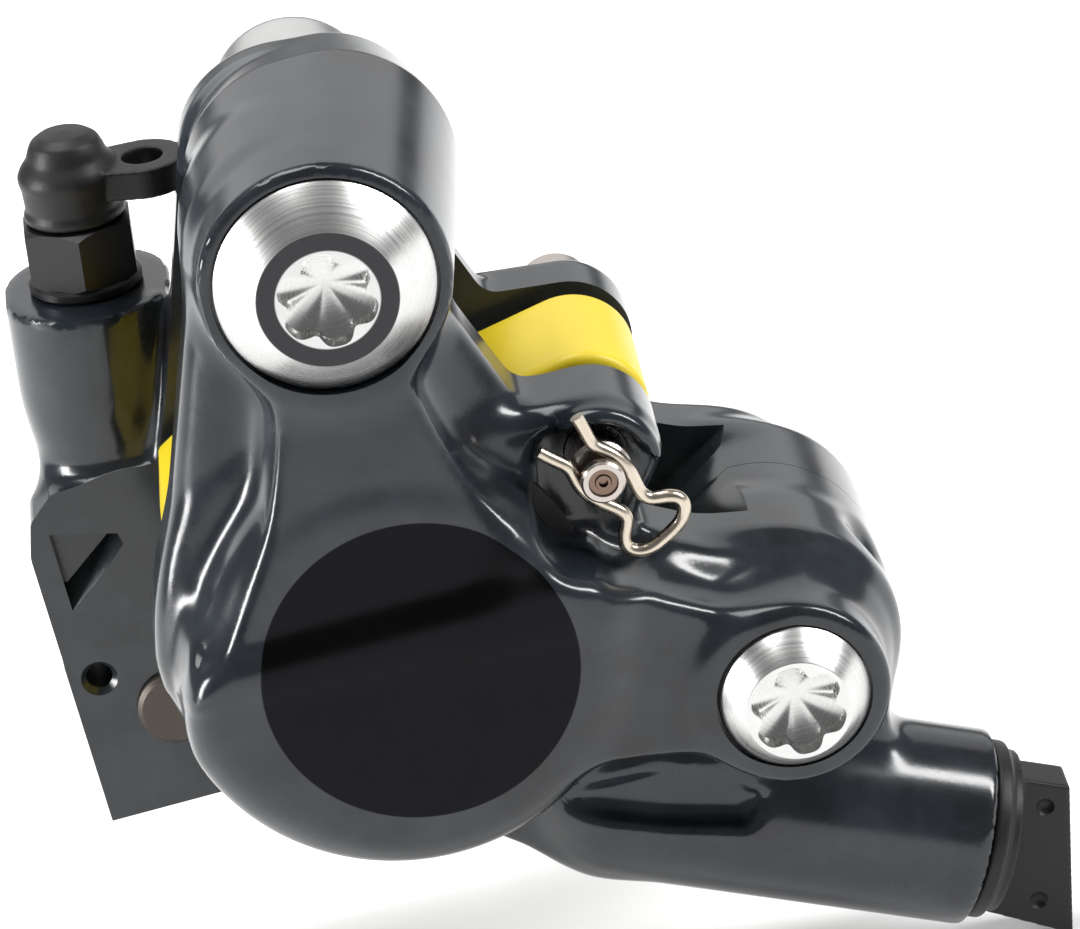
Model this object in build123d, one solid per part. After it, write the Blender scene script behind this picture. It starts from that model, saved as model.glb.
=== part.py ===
# Hydraulic disc brake caliper for a bicycle, of the kind that bolts straight down on a flat frame pad.
# Two cast halves are bolted together around the slot for the brake disc. A bleed block fills the
# place of the pads, as on a caliper that is delivered filled and not yet fitted.
# Millimetres. The origin lies on the mounting face, midway between the two frame threads.
# +X points to the hose, +Y away from the wheel, +Z away from the frame. The disc turns in the XZ plane.
import os
from math import acos, atan2, cos, hypot, pi, radians, sin

from build123d import *

os.makedirs("parts", exist_ok=True)

# Disc slot and layout
slot_width = 13.5
disc_plane_offset = 13.4        # disc plane to the line of the frame threads
parting_offset = 1.0            # parting plane of the halves behind the disc plane
disc_radius = 80.0
disc_relief = 1.5               # clearance cut in the bridges outside the disc's rim
pad_stop_low = 13.4             # faces that the pads' ends rest on, from the piston axis
pad_stop_high = 13.9
pad_way = 40.0                  # the pads' way out reaches this far outward from the piston axis
piston_orbit = 69.0             # piston axis to the wheel axle
radial_angle = 31.0             # direction from the wheel axle to the piston, above +X

piston_x = -0.7
piston_z = 18.2
upper_bolt_x = 1.1
upper_bolt_z = 44.2
lower_bolt_x = 22.6
lower_bolt_z = 8.4
axle_x = 14.4
axle_z = 25.6

# Cast halves
near_wall = 5.65                # thickness of the wheel-side wall
far_wall = 4.55
lobe_radius = 15.3
lobe_height = 12.25             # piston housing beyond the slot wall, wheel side
lobe_face_radius = 11.3
lobe_shoulder = 3.6
shoulder_steps = 4              # conical steps that a rounded shoulder is turned in
far_lobe_radius = 14.8
far_lobe_height = 11.25
far_lobe_face_radius = 11.6
far_lobe_shoulder = 4.0
upper_boss_radius = 7.9
upper_rib_radius = 5.4          # rib below the upper boss
upper_rib_shift = 2.5           # the rib runs along the boss's outer side
upper_bridge_radius = 8.0
upper_bridge_swell = 1.8        # extra metal of the upper bridge on the hose side
upper_bridge_taper = 1.7        # how much the bridge narrows from the parting plane to the nut's seat
upper_boss_height = 10.25       # wheel-side seat of the upper bolt beyond the slot wall
upper_boss_back = 2.85          # frame-side seat of the nut beyond the far slot wall
lower_boss_radius = 6.4
lower_bridge_radius = 8.1
lower_boss_height = 10.25
lower_far_radius = 7.2          # end of the far arm
lower_far_shift = 2.4           # that end lies inside the lower bolt
lower_boss_back = 6.2
lower_bridge_front = 3.6        # how far the wide bridge stands out of the near slot wall
ear_radius = 4.3
near_ear_radius = 3.9
ear_pocket_radius = 3.6         # scoop round the axle's tip and its retainer, in front of the near ear
ear_pocket_drop = 2.0           # its middle below the axle
ear_pocket_depth = 0.6
tip_pocket_radius = 3.0         # the scoop's upper end, where the retainer's tips lie
tip_pocket_side = 1.2
tip_pocket_rise = 1.4
loop_pocket_radius = 3.0        # the scoop's lower end, under the retainer's loop
loop_pocket_side = 1.2
loop_pocket_drop = 5.2
arm_root_radius = 8.8
neck_top_radius = 7.0           # root of the ridge that flows from the upper boss into the lobe
neck_low_radius = 8.6
neck_top_drop = 3.2             # its upper end below the bolt
neck_low_rise = 3.3             # its lower end above the piston axis
ridge_start_radius = 8.2        # root of the ridge from the lobe to the lower boss
ridge_start_reach = 5.2         # from the piston axis
ridge_draft = 2.4               # how much the two ridges narrow up to their crests
neck_lobe_sink = 0.6            # crest of each ridge below the lobe's face
ridge_lobe_sink = 1.3
ridge_seat_sink = 0.4           # and below the bolt's seat
head_room = 0.15                # spot face round a bolt's head
ear_proud = 1.0                 # boss of the near ear above the wall
rim_round = 1.2
seat_chamfer = 0.5              # edge of a bolt's seat
web_radius = 3.2                # web from the lower boss down to the hose tube
web_mouth_gap = 8.0             # the web stops this far inside the tube's mouth
merge_step = 0.2                # a rib's round stays this much inside the boss that it joins

# Frame foot
mount_spacing = 34.0
mount_hole_radius = 2.1
mount_hole_depth = 9.0
foot_length = 47.6
foot_height = 12.0
foot_depth_behind = 6.4         # foot behind the line of the frame threads
foot_floor = 6.0                # floor of the hollow between the thread bosses
foot_thread_boss_radius = 6.2
plate_height = 20.6
plate_shoulder = 4.2            # height of the slope from the plate's corner to the column
plate_pocket_inset = 1.4
plate_pocket_low = 12.9
plate_pocket_width = 5.2
plate_pocket_depth = 2.6
plate_hole_radius = 0.88
plate_hole_inset = 2.0          # from the end of the foot
plate_hole_height = 10.6

# Bleed column
bleed_foot_x = -15.4
bleed_foot_z = 35.9
bleed_plane_offset = 13.0       # bleed screw behind the disc plane
bleed_lean = 7.3                # degrees from +Z towards +X
bleed_column_radius = 5.45
bleed_column_low_radius = 4.2   # at its foot
bleed_column_depth = 1.3        # the column is this much deeper than wide, each way

# Hose tube
hose_end_x = 31.9
hose_end_z = -8.5
hose_plane_offset = 9.5         # hose axis in front of the disc plane
hose_angle = 25.7               # below +X
hose_tube_radius = 6.5
hose_tube_length = 24.0
hose_port_radius = 3.6
hose_port_depth = 13.0
hose_passage_radius = 1.0
hose_passage_length = 8.0

# Pistons and seals
piston_radius = 11.0
piston_length = 9.0
piston_proud = 0.2
piston_cup_radius = 7.6
piston_cup_depth = 3.2
piston_bore_depth = 9.6
piston_edge = 0.4
seal_width = 2.2
seal_height = 1.7
seal_inset = 2.6                # slot wall to the seal groove
running_clearance = 0.06
sealing_clearance = 0.03

# Body bolts
upper_bolt_radius = 3.0
upper_head_radius = 6.95
upper_head_height = 2.8
upper_head_land = 4.5           # radius of the flat ring around the socket
upper_socket_radius = 3.15
lower_bolt_radius = 2.5
lower_head_radius = 4.9
lower_head_height = 2.6
lower_head_land = 3.45
lower_socket_radius = 3.05
head_rim = 0.5                  # upright rim below a head's cone
socket_depth = 2.0
socket_point = 1.1              # drilled point below a socket
socket_lobe_share = 0.26        # round of each lobe, of the socket's radius
socket_point_share = 0.72       # mouth of the drilled point, of the socket's radius
bolt_clearance = 0.12
lower_bolt_tail = 10.5          # end of the lower bolt behind the disc plane
bolt_chamfer = 0.5
nut_radius = 5.4
nut_length = 7.8
nut_crown = 1.8
nut_thread_depth = 5.4

# Fluid crossover between the halves
crossover_radius = 0.9
crossover_depth = 6.5
crossover_distance = 5.7        # from the upper bolt
crossover_angle = 62.0          # above +X
ring_section = 1.1
ring_radius = 1.55              # to the middle of the ring's section
ring_sides = 6

# Bleed screw and its cap
screw_stem_radius = 2.6
screw_stem_length = 9.0
screw_collar_radius = 3.7
screw_collar_height = 0.8
screw_hex = 7.0
hex_turn = 30.0                 # degrees, one corner towards the wheel
screw_hex_height = 4.0
screw_neck_radius = 1.6
screw_nib_radius = 2.05
screw_nib_length = 4.6
screw_barb_length = 2.3
screw_bore_radius = 0.7
cap_radius = 3.35
cap_height = 5.9
cap_top_radius = 1.75
cap_cone_height = 2.4
cap_skirt_bead = 0.35
cap_clearance = 0.12
cap_eye_outer = 2.9
cap_eye_inner = 1.4
cap_eye_reach = 4.9             # cap axis to the middle of the eye
cap_eye_thickness = 2.0
cap_eye_height = 2.5            # middle of the eye above the cap's lower edge

# Pad axle and its snap retainer
axle_radius = 2.0
axle_front = 15.9               # tip in front of the disc plane
axle_tip_radius = 1.3
axle_tip_length = 0.75
axle_groove_radius = 0.9
axle_groove_width = 1.05
axle_head_radius = 2.55
axle_head_length = 4.9
axle_chamfer = 0.3
wire_radius = 0.45
wire_sides = 6
retainer_lean = 60.0            # degrees that the retainer hangs below +X
retainer_grip = 0.05
retainer_tip_reach = 4.1
retainer_tip_spread = 1.65
retainer_neck_reach = 2.15
retainer_neck_spread = 1.05
retainer_waist_reach = 2.75
retainer_waist_spread = 0.95
retainer_loop_reach = 5.9
retainer_loop_spread = 2.1
retainer_bend = 0.8
retainer_loop_bend = 1.65

# Bleed block in the place of the pads
block_thickness = 10.4
block_half_width = 13.8
block_inner_reach = 9.5         # towards the wheel axle, from the piston axis
block_outer_reach = 8.6
block_chamfer = 3.0
block_ear_radius = 4.2
block_axle_clearance = 0.15
block_edge = 0.6

# Hose port plug
plug_collar_radius = 5.6
plug_collar_length = 2.0
plug_stem_radius = 3.5
plug_stem_length = 10.0
plug_tab_thickness = 3.0
plug_tab_top = 4.5
plug_tab_bottom = 6.0
plug_tab_top_reach = 5.2
plug_tab_bottom_reach = 8.1
plug_tab_corner = 0.9
plug_seat_gap = 0.05

# Passage plug
passage_plug_x = -17.4
passage_plug_z = 7.2
passage_plug_radius = 2.6
passage_plug_proud = 0.7
passage_plug_depth = 3.0
passage_plug_edge = 0.3

seat_gap = 0.1                  # free gap under a turning collar
overrun = 2.0                   # how far cutting tools pass the surface that they cut

# Depths along Y
disc_y = -disc_plane_offset
parting_y = disc_y + parting_offset
near_slot_y = disc_y - slot_width / 2
far_slot_y = disc_y + slot_width / 2
near_face_y = near_slot_y - near_wall
near_lobe_y = near_slot_y - lobe_height
upper_seat_y = near_slot_y - upper_boss_height
lower_seat_y = near_slot_y - lower_boss_height
far_face_y = far_slot_y + far_wall
far_lobe_y = far_slot_y + far_lobe_height
nut_seat_y = far_slot_y + upper_boss_back
lower_back_y = far_slot_y + lower_boss_back
bleed_y = disc_y + bleed_plane_offset
hose_y = disc_y - hose_plane_offset

piston_axis = (piston_x, piston_z)
upper_bolt = (upper_bolt_x, upper_bolt_z)
lower_bolt = (lower_bolt_x, lower_bolt_z)
axle = (axle_x, axle_z)
bore_radius = piston_radius + running_clearance
outward = (cos(radians(radial_angle)), sin(radians(radial_angle)))
along = (outward[1], -outward[0])
wheel_axle = (piston_x - piston_orbit * outward[0], piston_z - piston_orbit * outward[1])
hose_dir = (cos(radians(hose_angle)), -sin(radians(hose_angle)))


def facing(y):
    """Plane across the caliper at depth y, seen from the wheel."""
    return Plane(origin=(0, y, 0), x_dir=(1, 0, 0), z_dir=(0, -1, 0))


def slab(section, y_near, y_far):
    """Straight solid of a section between two depths."""
    return extrude(facing(y_far) * section, amount=y_far - y_near)


def disc_at(centre, radius):
    return Pos(centre[0], centre[1]) * Circle(radius)


def rod(centre, radius, y_near, y_far):
    """Round bar along Y."""
    return slab(disc_at(centre, radius), y_near, y_far)


def strap(start, start_radius, end, end_radius):
    """Section of a link: two rounds and their outer tangents, in one closed outline."""
    run = (end[0] - start[0], end[1] - start[1])
    heading = atan2(run[1], run[0])
    spread = acos((start_radius - end_radius) / hypot(*run))

    def on(centre, radius, angle):
        return (centre[0] + radius * cos(angle), centre[1] + radius * sin(angle))

    left = heading + spread
    right = heading - spread
    outline = Wire([
        Edge.make_line(on(start, start_radius, right), on(end, end_radius, right)),
        Edge.make_three_point_arc(
            on(end, end_radius, right), on(end, end_radius, heading), on(end, end_radius, left)),
        Edge.make_line(on(end, end_radius, left), on(start, start_radius, left)),
        Edge.make_three_point_arc(
            on(start, start_radius, left),
            on(start, start_radius, heading + pi),
            on(start, start_radius, right)),
    ])
    return Face(outline)


def rib(start, start_radius, end, end_radius, draft, y_start, y_end, y_root):
    """Link with drafted flanks. It is full size at its flat root and narrower at its crest, whose depth
    runs from y_start to y_end."""
    run = hypot(end[0] - start[0], end[1] - start[1])
    ahead = ((end[0] - start[0]) / run, (end[1] - start[1]) / run)

    def level(y, slope):
        return Plane(
            origin=(start[0], y, start[1]),
            x_dir=(ahead[0], slope, ahead[1]),
            z_dir=(slope * ahead[0], -1, slope * ahead[1]),
        )

    root = level(y_root, 0) * strap((0, 0), start_radius, (run, 0), end_radius)
    crest = level(y_start, (y_end - y_start) / run) * strap(
        (0, 0), start_radius - draft, (run, 0), end_radius - draft)
    return loft([root, crest], ruled=True)


def turned(centre, outline):
    """Turned solid about an axis along Y; its outline of (radius, y) runs from the axis round to it."""
    plane = Plane(origin=(centre[0], 0, centre[1]), x_dir=(1, 0, 0), z_dir=(0, 0, 1))
    section = plane * make_face(Polyline(*outline, close=True))
    return revolve(section, Axis((centre[0], 0, centre[1]), (0, 1, 0)))


def drum(centre, radius, face_radius, shoulder, y_root, y_face):
    """Round drum along Y whose shoulder rolls over to its flat face."""
    inward = 1 if y_root > y_face else -1
    turns = [pi / 2 * step / shoulder_steps for step in range(shoulder_steps + 1)]
    bend = [
        (face_radius + (radius - face_radius) * cos(turn), y_face + inward * shoulder * (1 - sin(turn)))
        for turn in turns
    ]
    return turned(centre, [(0, y_root), (radius, y_root), *bend, (0, y_face)])


def box_between(low, high):
    """Upright box between two corners."""
    size = [high[i] - low[i] for i in range(3)]
    return Pos(*low) * Box(*size, align=(Align.MIN, Align.MIN, Align.MIN))


def along_outward(side, reach):
    """Point placed from the piston axis: sideways along the disc's path, and outward from the wheel."""
    return (
        piston_x + side * along[0] + reach * outward[0],
        piston_z + side * along[1] + reach * outward[1],
    )


def hose_frame(distance):
    """Plane across the hose tube, at a distance past its mouth; local Y lies across the tube in XZ."""
    return Plane(
        origin=(hose_end_x + distance * hose_dir[0], hose_y, hose_end_z + distance * hose_dir[1]),
        x_dir=(0, 1, 0),
        z_dir=(hose_dir[0], 0, hose_dir[1]),
    )


bleed_dir = (sin(radians(bleed_lean)), 0, cos(radians(bleed_lean)))


def bleed_frame(height):
    """Plane across the bleed screw at a height above the column's top face."""
    return Plane(
        origin=(bleed_foot_x + height * bleed_dir[0], bleed_y, bleed_foot_z + height * bleed_dir[2]),
        x_dir=(cos(radians(bleed_lean)), 0, -sin(radians(bleed_lean))),
        z_dir=bleed_dir,
    )


# The upper bridge is egg-shaped: its round is drawn out to one side.
upper_swell_centre = (upper_bolt_x + upper_bridge_swell, upper_bolt_z)
upper_bridge = strap(upper_bolt, upper_bridge_radius, upper_swell_centre, upper_bridge_radius - merge_step)
lower_bridge = disc_at(lower_bolt, lower_bridge_radius)

rib_run = hypot(upper_bolt_x - piston_x, upper_bolt_z - piston_z)
upper_rib_centre = (
    upper_bolt_x - upper_rib_shift * (upper_bolt_z - piston_z) / rib_run,
    upper_bolt_z + upper_rib_shift * (upper_bolt_x - piston_x) / rib_run,
)
arm_run = hypot(lower_bolt_x - piston_x, lower_bolt_z - piston_z)
arm_dir = ((lower_bolt_x - piston_x) / arm_run, (lower_bolt_z - piston_z) / arm_run)
lower_far_centre = (
    lower_bolt_x - lower_far_shift * arm_dir[0],
    lower_bolt_z - lower_far_shift * arm_dir[1],
)
ridge_start = (piston_x + ridge_start_reach * arm_dir[0], piston_z + ridge_start_reach * arm_dir[1])
neck_top = (upper_bolt_x, upper_bolt_z - neck_top_drop)
neck_low = (piston_x, piston_z + neck_low_rise)

seal_outer = piston_radius + seal_height
crossover = (
    upper_bolt_x + crossover_distance * cos(radians(crossover_angle)),
    upper_bolt_z + crossover_distance * sin(radians(crossover_angle)),
)
ring_outer = ring_radius + ring_section / 2


def piston_bore(side):
    """Cutter for a bore with its seal groove. side is -1 towards the wheel, +1 towards the frame."""
    wall = disc_y + side * slot_width / 2

    def span(start, end, radius):
        ends = sorted([wall + side * start, wall + side * end])
        return rod(piston_axis, radius, ends[0], ends[1])

    groove = span(seal_inset, seal_inset + seal_width, seal_outer)
    return span(-overrun, piston_bore_depth, bore_radius) + groove


def disc_slot():
    """Cutter for the slot that the disc turns in, and for the way that the pads go in by."""
    corners = [(-pad_stop_high, 0), (pad_stop_low, 0), (pad_stop_low, pad_way), (-pad_stop_high, pad_way)]
    way = make_face(Polyline(*[along_outward(side, reach) for side, reach in corners], close=True))
    turning_room = rod(wheel_axle, disc_radius + disc_relief, near_slot_y, far_slot_y)
    return turning_room + slab(way, near_slot_y, far_slot_y)


def inboard_body():
    """Wheel-side casting: piston lobe, two bolt bosses on drafted ribs, axle ear and hose tube."""
    body = drum(piston_axis, lobe_radius, lobe_face_radius, lobe_shoulder, near_slot_y, near_lobe_y)
    root_radius = lobe_radius - merge_step
    web_end = (
        hose_end_x - hose_tube_length * hose_dir[0],
        hose_end_z - hose_tube_length * hose_dir[1],
    )
    web_mouth = (hose_end_x - web_mouth_gap * hose_dir[0], hose_end_z - web_mouth_gap * hose_dir[1])
    wall = Sketch() + [
        strap(upper_rib_centre, upper_rib_radius, piston_axis, root_radius),
        strap(piston_axis, root_radius, axle, near_ear_radius),
        strap(piston_axis, arm_root_radius, lower_bolt, lower_boss_radius),
        strap(piston_axis, lobe_radius - lobe_shoulder, web_end, hose_tube_radius - merge_step),
        strap(web_end, web_radius, web_mouth, web_radius),
        strap(web_mouth, web_radius, lower_bolt, lower_boss_radius - merge_step),
    ]
    body += slab(wall, near_face_y, near_slot_y)
    body += rod(axle, near_ear_radius, near_face_y - ear_proud, near_slot_y)
    body += rib(neck_top, neck_top_radius, neck_low, neck_low_radius, ridge_draft,
                upper_seat_y + ridge_seat_sink, near_lobe_y + neck_lobe_sink, near_face_y)
    body += rib(ridge_start, ridge_start_radius, lower_far_centre, lower_far_radius, ridge_draft,
                near_lobe_y + ridge_lobe_sink, lower_seat_y + ridge_seat_sink, near_face_y)
    body += turned(upper_bolt, [
        (0, near_slot_y),
        (upper_boss_radius, near_slot_y),
        (upper_boss_radius, upper_seat_y + seat_chamfer),
        (upper_boss_radius - seat_chamfer, upper_seat_y),
        (0, upper_seat_y),
    ])
    body += turned(lower_bolt, [
        (0, near_slot_y),
        (lower_boss_radius + seat_chamfer, near_slot_y),
        (lower_boss_radius, lower_seat_y + seat_chamfer),
        (lower_boss_radius - seat_chamfer, lower_seat_y),
        (0, lower_seat_y),
    ])
    body += slab(upper_bridge, near_face_y + merge_step, parting_y)
    body += slab(lower_bridge, near_slot_y - lower_bridge_front, parting_y)
    tube = extrude(hose_frame(-hose_tube_length) * Circle(hose_tube_radius), amount=hose_tube_length)
    body += tube + hose_frame(-hose_tube_length) * Sphere(hose_tube_radius)

    middle = (axle_x, axle_z - ear_pocket_drop)
    pocket = Sketch() + [
        strap(middle, ear_pocket_radius, (axle_x - tip_pocket_side, axle_z + tip_pocket_rise),
              tip_pocket_radius),
        strap(middle, ear_pocket_radius, (axle_x + loop_pocket_side, axle_z - loop_pocket_drop),
              loop_pocket_radius),
    ]
    body -= slab(pocket, near_lobe_y - overrun, near_face_y + ear_pocket_depth)
    body -= disc_slot()
    body -= rod(axle, axle_radius + running_clearance, near_lobe_y - overrun, near_slot_y + overrun)
    body -= piston_bore(-1)
    body -= rod(upper_bolt, upper_head_radius + head_room, near_lobe_y - overrun, upper_seat_y)
    body -= rod(lower_bolt, lower_head_radius + head_room, near_lobe_y - overrun, lower_seat_y)
    body -= rod(upper_bolt, upper_bolt_radius + bolt_clearance, upper_seat_y - overrun, parting_y + overrun)
    body -= rod(lower_bolt, lower_bolt_radius + bolt_clearance, lower_seat_y - overrun, parting_y + overrun)
    body -= rod(crossover, crossover_radius, parting_y - crossover_depth, parting_y + overrun)
    port = extrude(hose_frame(-hose_port_depth) * Circle(hose_port_radius), amount=hose_port_depth + overrun)
    passage = extrude(
        hose_frame(-hose_port_depth - hose_passage_length) * Circle(hose_passage_radius),
        amount=hose_passage_length + overrun)
    return body - port - passage


def foot():
    """Foot with a flat underside, and the plate that rises from it beside the disc."""
    half = foot_length / 2
    base = box_between((-half, far_slot_y, 0), (half, foot_depth_behind, foot_height))
    base = fillet(base.edges().filter_by(Axis.Z).group_by(Axis.Y)[-1], foot_thread_boss_radius - rim_round)
    # Hollow between the two thread bosses, open to the back and to the top.
    hollow_half = mount_spacing / 2 - foot_thread_boss_radius
    base -= box_between(
        (-hollow_half, 0, foot_floor), (hollow_half, foot_depth_behind + overrun, foot_height + overrun))
    column_side = bleed_foot_x - bleed_column_radius
    plate = make_face(Polyline(
        (-half, 0),
        (0, 0),
        (0, plate_height + plate_shoulder),
        (column_side, plate_height + plate_shoulder),
        (-half, plate_height),
        close=True))
    pocket_x = plate_pocket_inset - half
    pocket = make_face(Polyline(
        (pocket_x, plate_pocket_low),
        (pocket_x + plate_pocket_width, plate_height - plate_pocket_inset),
        (pocket_x, plate_height + plate_pocket_inset),
        close=True))
    solid = base + slab(plate, far_slot_y, far_face_y)
    solid -= slab(pocket, far_slot_y - overrun, far_slot_y + plate_pocket_depth)
    return solid


def bleed_column():
    """Column for the bleed screw: a round, drawn out towards the disc, under a flat top."""
    column_length = (bleed_foot_z - foot_height / 2) / bleed_dir[2]
    column = loft([
        bleed_frame(height) * strap((0, -bleed_column_depth), radius, (0, bleed_column_depth), radius)
        for height, radius in ((-column_length, bleed_column_low_radius), (0, bleed_column_radius))
    ], ruled=True)
    low = bleed_frame(-column_length / 2).origin
    web = slab(
        strap((low.X, low.Z), bleed_column_low_radius, piston_axis, far_lobe_radius - far_wall),
        far_slot_y + plate_pocket_depth, bleed_y)
    return column + web


def outboard_body():
    """Frame-side casting: piston lobe, foot, bolt bosses, axle ear and bleed column."""
    body = drum(piston_axis, far_lobe_radius, far_lobe_face_radius, far_lobe_shoulder,
                far_slot_y, far_lobe_y)
    root_radius = far_lobe_radius - merge_step
    wall = Sketch() + [
        strap(piston_axis, root_radius, axle, ear_radius),
        strap(piston_axis, arm_root_radius, lower_far_centre, lower_far_radius),
    ]
    body += slab(wall, far_slot_y, far_face_y)
    body += slab(strap(upper_rib_centre, upper_rib_radius, piston_axis, root_radius), far_slot_y, nut_seat_y)
    body += foot() + bleed_column()
    body += rib(upper_bolt, upper_bridge_radius, upper_swell_centre, upper_bridge_radius - merge_step,
                upper_bridge_taper, nut_seat_y, nut_seat_y, parting_y)
    body += slab(lower_bridge, parting_y, far_slot_y + merge_step)
    body += turned(lower_far_centre, [
        (0, far_slot_y),
        (lower_far_radius - merge_step, far_face_y),
        (lower_far_radius - rim_round, lower_back_y),
        (0, lower_back_y),
    ])
    body -= disc_slot()
    body -= piston_bore(1)
    body -= rod(upper_bolt, upper_bolt_radius + bolt_clearance, parting_y - overrun, nut_seat_y + overrun)
    body -= rod(upper_bolt, nut_radius + seat_gap, nut_seat_y, far_lobe_y + overrun)
    body -= rod(axle, axle_head_radius + seat_gap, far_face_y, far_lobe_y + overrun)
    tail_y = disc_y + lower_bolt_tail
    body -= rod(lower_bolt, lower_bolt_radius + bolt_clearance, parting_y - overrun, tail_y + bolt_chamfer)
    body -= rod(axle, axle_radius + running_clearance, far_slot_y - overrun, far_lobe_y + overrun)
    body -= rod(crossover, crossover_radius, parting_y - overrun, parting_y + crossover_depth)
    body -= rod(crossover, ring_outer, parting_y - overrun, parting_y + ring_section)
    plate_hole = (plate_hole_inset - foot_length / 2, plate_hole_height)
    body -= rod(plate_hole, plate_hole_radius, far_slot_y - overrun, far_lobe_y)
    body -= rod((passage_plug_x, passage_plug_z), passage_plug_radius,
                far_slot_y - overrun, far_slot_y + passage_plug_depth)
    body -= extrude(
        bleed_frame(-screw_stem_length - overrun) * Circle(screw_stem_radius + running_clearance),
        amount=screw_stem_length + 2 * overrun)
    for side in (-1, 1):
        body -= Pos(side * mount_spacing / 2, 0, 0) * Cylinder(
            mount_hole_radius, mount_hole_depth, align=(Align.CENTER, Align.CENTER, Align.MIN))
    return body


def socket(centre, radius, y_head):
    """Cutter for a six-lobed socket with a drilled point."""
    round_radius = radius * socket_lobe_share

    def around(reach, turn):
        return [
            Pos(centre[0], centre[1]) * Rot(0, 0, 60 * i + turn) * Pos(reach, 0) * Circle(round_radius)
            for i in range(6)
        ]

    star = Sketch() + [disc_at(centre, radius * cos(pi / 6))] + around(radius - round_radius, 30)
    profile = star - around(radius, 0)
    floor_y = y_head + socket_depth
    point_radius = radius * socket_point_share
    point = turned(centre, [(0, floor_y), (point_radius, floor_y), (0, floor_y + socket_point)])
    return slab(profile, y_head - overrun, floor_y) + point


def body_bolt(centre, shank, head, height, land, socket_radius, y_seat, y_tail):
    """Bolt with a conical head, a flat ring round its socket and a chamfered tail."""
    bolt = turned(centre, [
        (0, y_seat - height),
        (land, y_seat - height),
        (head, y_seat - head_rim),
        (head, y_seat),
        (shank, y_seat),
        (shank, y_tail - bolt_chamfer),
        (shank - bolt_chamfer, y_tail),
        (0, y_tail),
    ])
    return bolt - socket(centre, socket_radius, y_seat - height)


def upper_bolt_nut():
    """Crowned sleeve nut that closes the upper bolt behind the frame-side half."""
    end_y = nut_seat_y + nut_length
    nut = drum(upper_bolt, nut_radius, nut_radius - nut_crown, nut_crown, nut_seat_y, end_y)
    return nut - rod(upper_bolt, upper_bolt_radius + bolt_clearance, nut_seat_y - overrun,
                     nut_seat_y + nut_thread_depth)


def piston(side):
    """Cup-shaped piston, its open face to the pads."""
    wall = disc_y + side * slot_width / 2
    face = wall - side * piston_proud
    back = face + side * piston_length
    return turned(piston_axis, [
        (0, face + side * piston_cup_depth),
        (piston_cup_radius, face + side * piston_cup_depth),
        (piston_cup_radius, face),
        (piston_radius - piston_edge, face),
        (piston_radius, face + side * piston_edge),
        (piston_radius, back),
        (0, back),
    ])


def piston_seal(side):
    """Square-section ring in the groove of a piston bore."""
    wall = disc_y + side * slot_width / 2
    ends = sorted([wall + side * seal_inset, wall + side * (seal_inset + seal_width)])
    ring = disc_at(piston_axis, seal_outer) - disc_at(piston_axis, piston_radius + sealing_clearance)
    return slab(ring, ends[0], ends[1])


def crossover_o_ring():
    """Round-section ring in its counterbore at the parting plane."""
    section = Pos(crossover[0] + ring_radius, parting_y + ring_section / 2) * RegularPolygon(
        ring_section / 2, ring_sides)
    plane = Plane(origin=(0, 0, crossover[1]), x_dir=(1, 0, 0), z_dir=(0, 0, 1))
    return revolve(plane * section, Axis((crossover[0], 0, crossover[1]), (0, 1, 0)))


def bleed_nipple():
    """Hollow hexagon screw with a barbed nib for the bleed hose."""
    collar_top = seat_gap + screw_collar_height
    hex_top = collar_top + screw_hex_height
    tip = hex_top + screw_nib_length
    section = Plane(
        origin=bleed_frame(0).origin, x_dir=bleed_frame(0).x_dir, z_dir=(0, -1, 0)) * make_face(Polyline(
            (0, -screw_stem_length),
            (screw_stem_radius - bolt_chamfer, -screw_stem_length),
            (screw_stem_radius, bolt_chamfer - screw_stem_length),
            (screw_stem_radius, seat_gap),
            (screw_collar_radius, seat_gap),
            (screw_collar_radius, collar_top),
            (screw_neck_radius, collar_top),
            (screw_neck_radius, tip - screw_barb_length),
            (screw_nib_radius, tip - screw_barb_length),
            (screw_neck_radius, tip),
            (0, tip),
            close=True))
    screw = revolve(section, Axis(bleed_frame(0).origin, bleed_dir))
    screw += extrude(
        bleed_frame(collar_top) * RegularPolygon(screw_hex / 2, 6, major_radius=False, rotation=hex_turn),
        amount=screw_hex_height)
    bore = extrude(bleed_frame(collar_top) * Circle(screw_bore_radius), amount=tip)
    return screw - bore


def bleed_cap():
    """Rubber cap over the nib, with a conical crown and an eye to pull it by."""
    base = seat_gap + screw_collar_height + screw_hex_height + seat_gap
    top = base + cap_height
    outer = Plane(
        origin=bleed_frame(0).origin, x_dir=bleed_frame(0).x_dir, z_dir=(0, -1, 0)) * make_face(Polyline(
            (0, base),
            (cap_radius, base),
            (cap_radius, top - cap_cone_height),
            (cap_radius - cap_skirt_bead, top - cap_cone_height + cap_skirt_bead),
            (cap_top_radius, top),
            (0, top),
            close=True))
    cap = revolve(outer, Axis(bleed_frame(0).origin, bleed_dir))
    eye_frame = Plane(
        origin=bleed_frame(base + cap_eye_height).origin, x_dir=bleed_frame(0).x_dir, z_dir=bleed_dir)
    eye = strap((0, 0), cap_eye_outer, (cap_eye_reach, 0), cap_eye_outer)
    cap += extrude(eye_frame * eye, amount=cap_eye_thickness / 2, both=True)
    cap -= extrude(
        eye_frame * Pos(cap_eye_reach, 0) * Circle(cap_eye_inner), amount=cap_eye_thickness, both=True)
    nib_top = seat_gap + screw_collar_height + screw_hex_height + screw_nib_length
    hollow = extrude(
        bleed_frame(base - overrun) * Circle(screw_nib_radius + cap_clearance),
        amount=nib_top + cap_clearance - base + overrun)
    return cap - hollow


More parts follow.
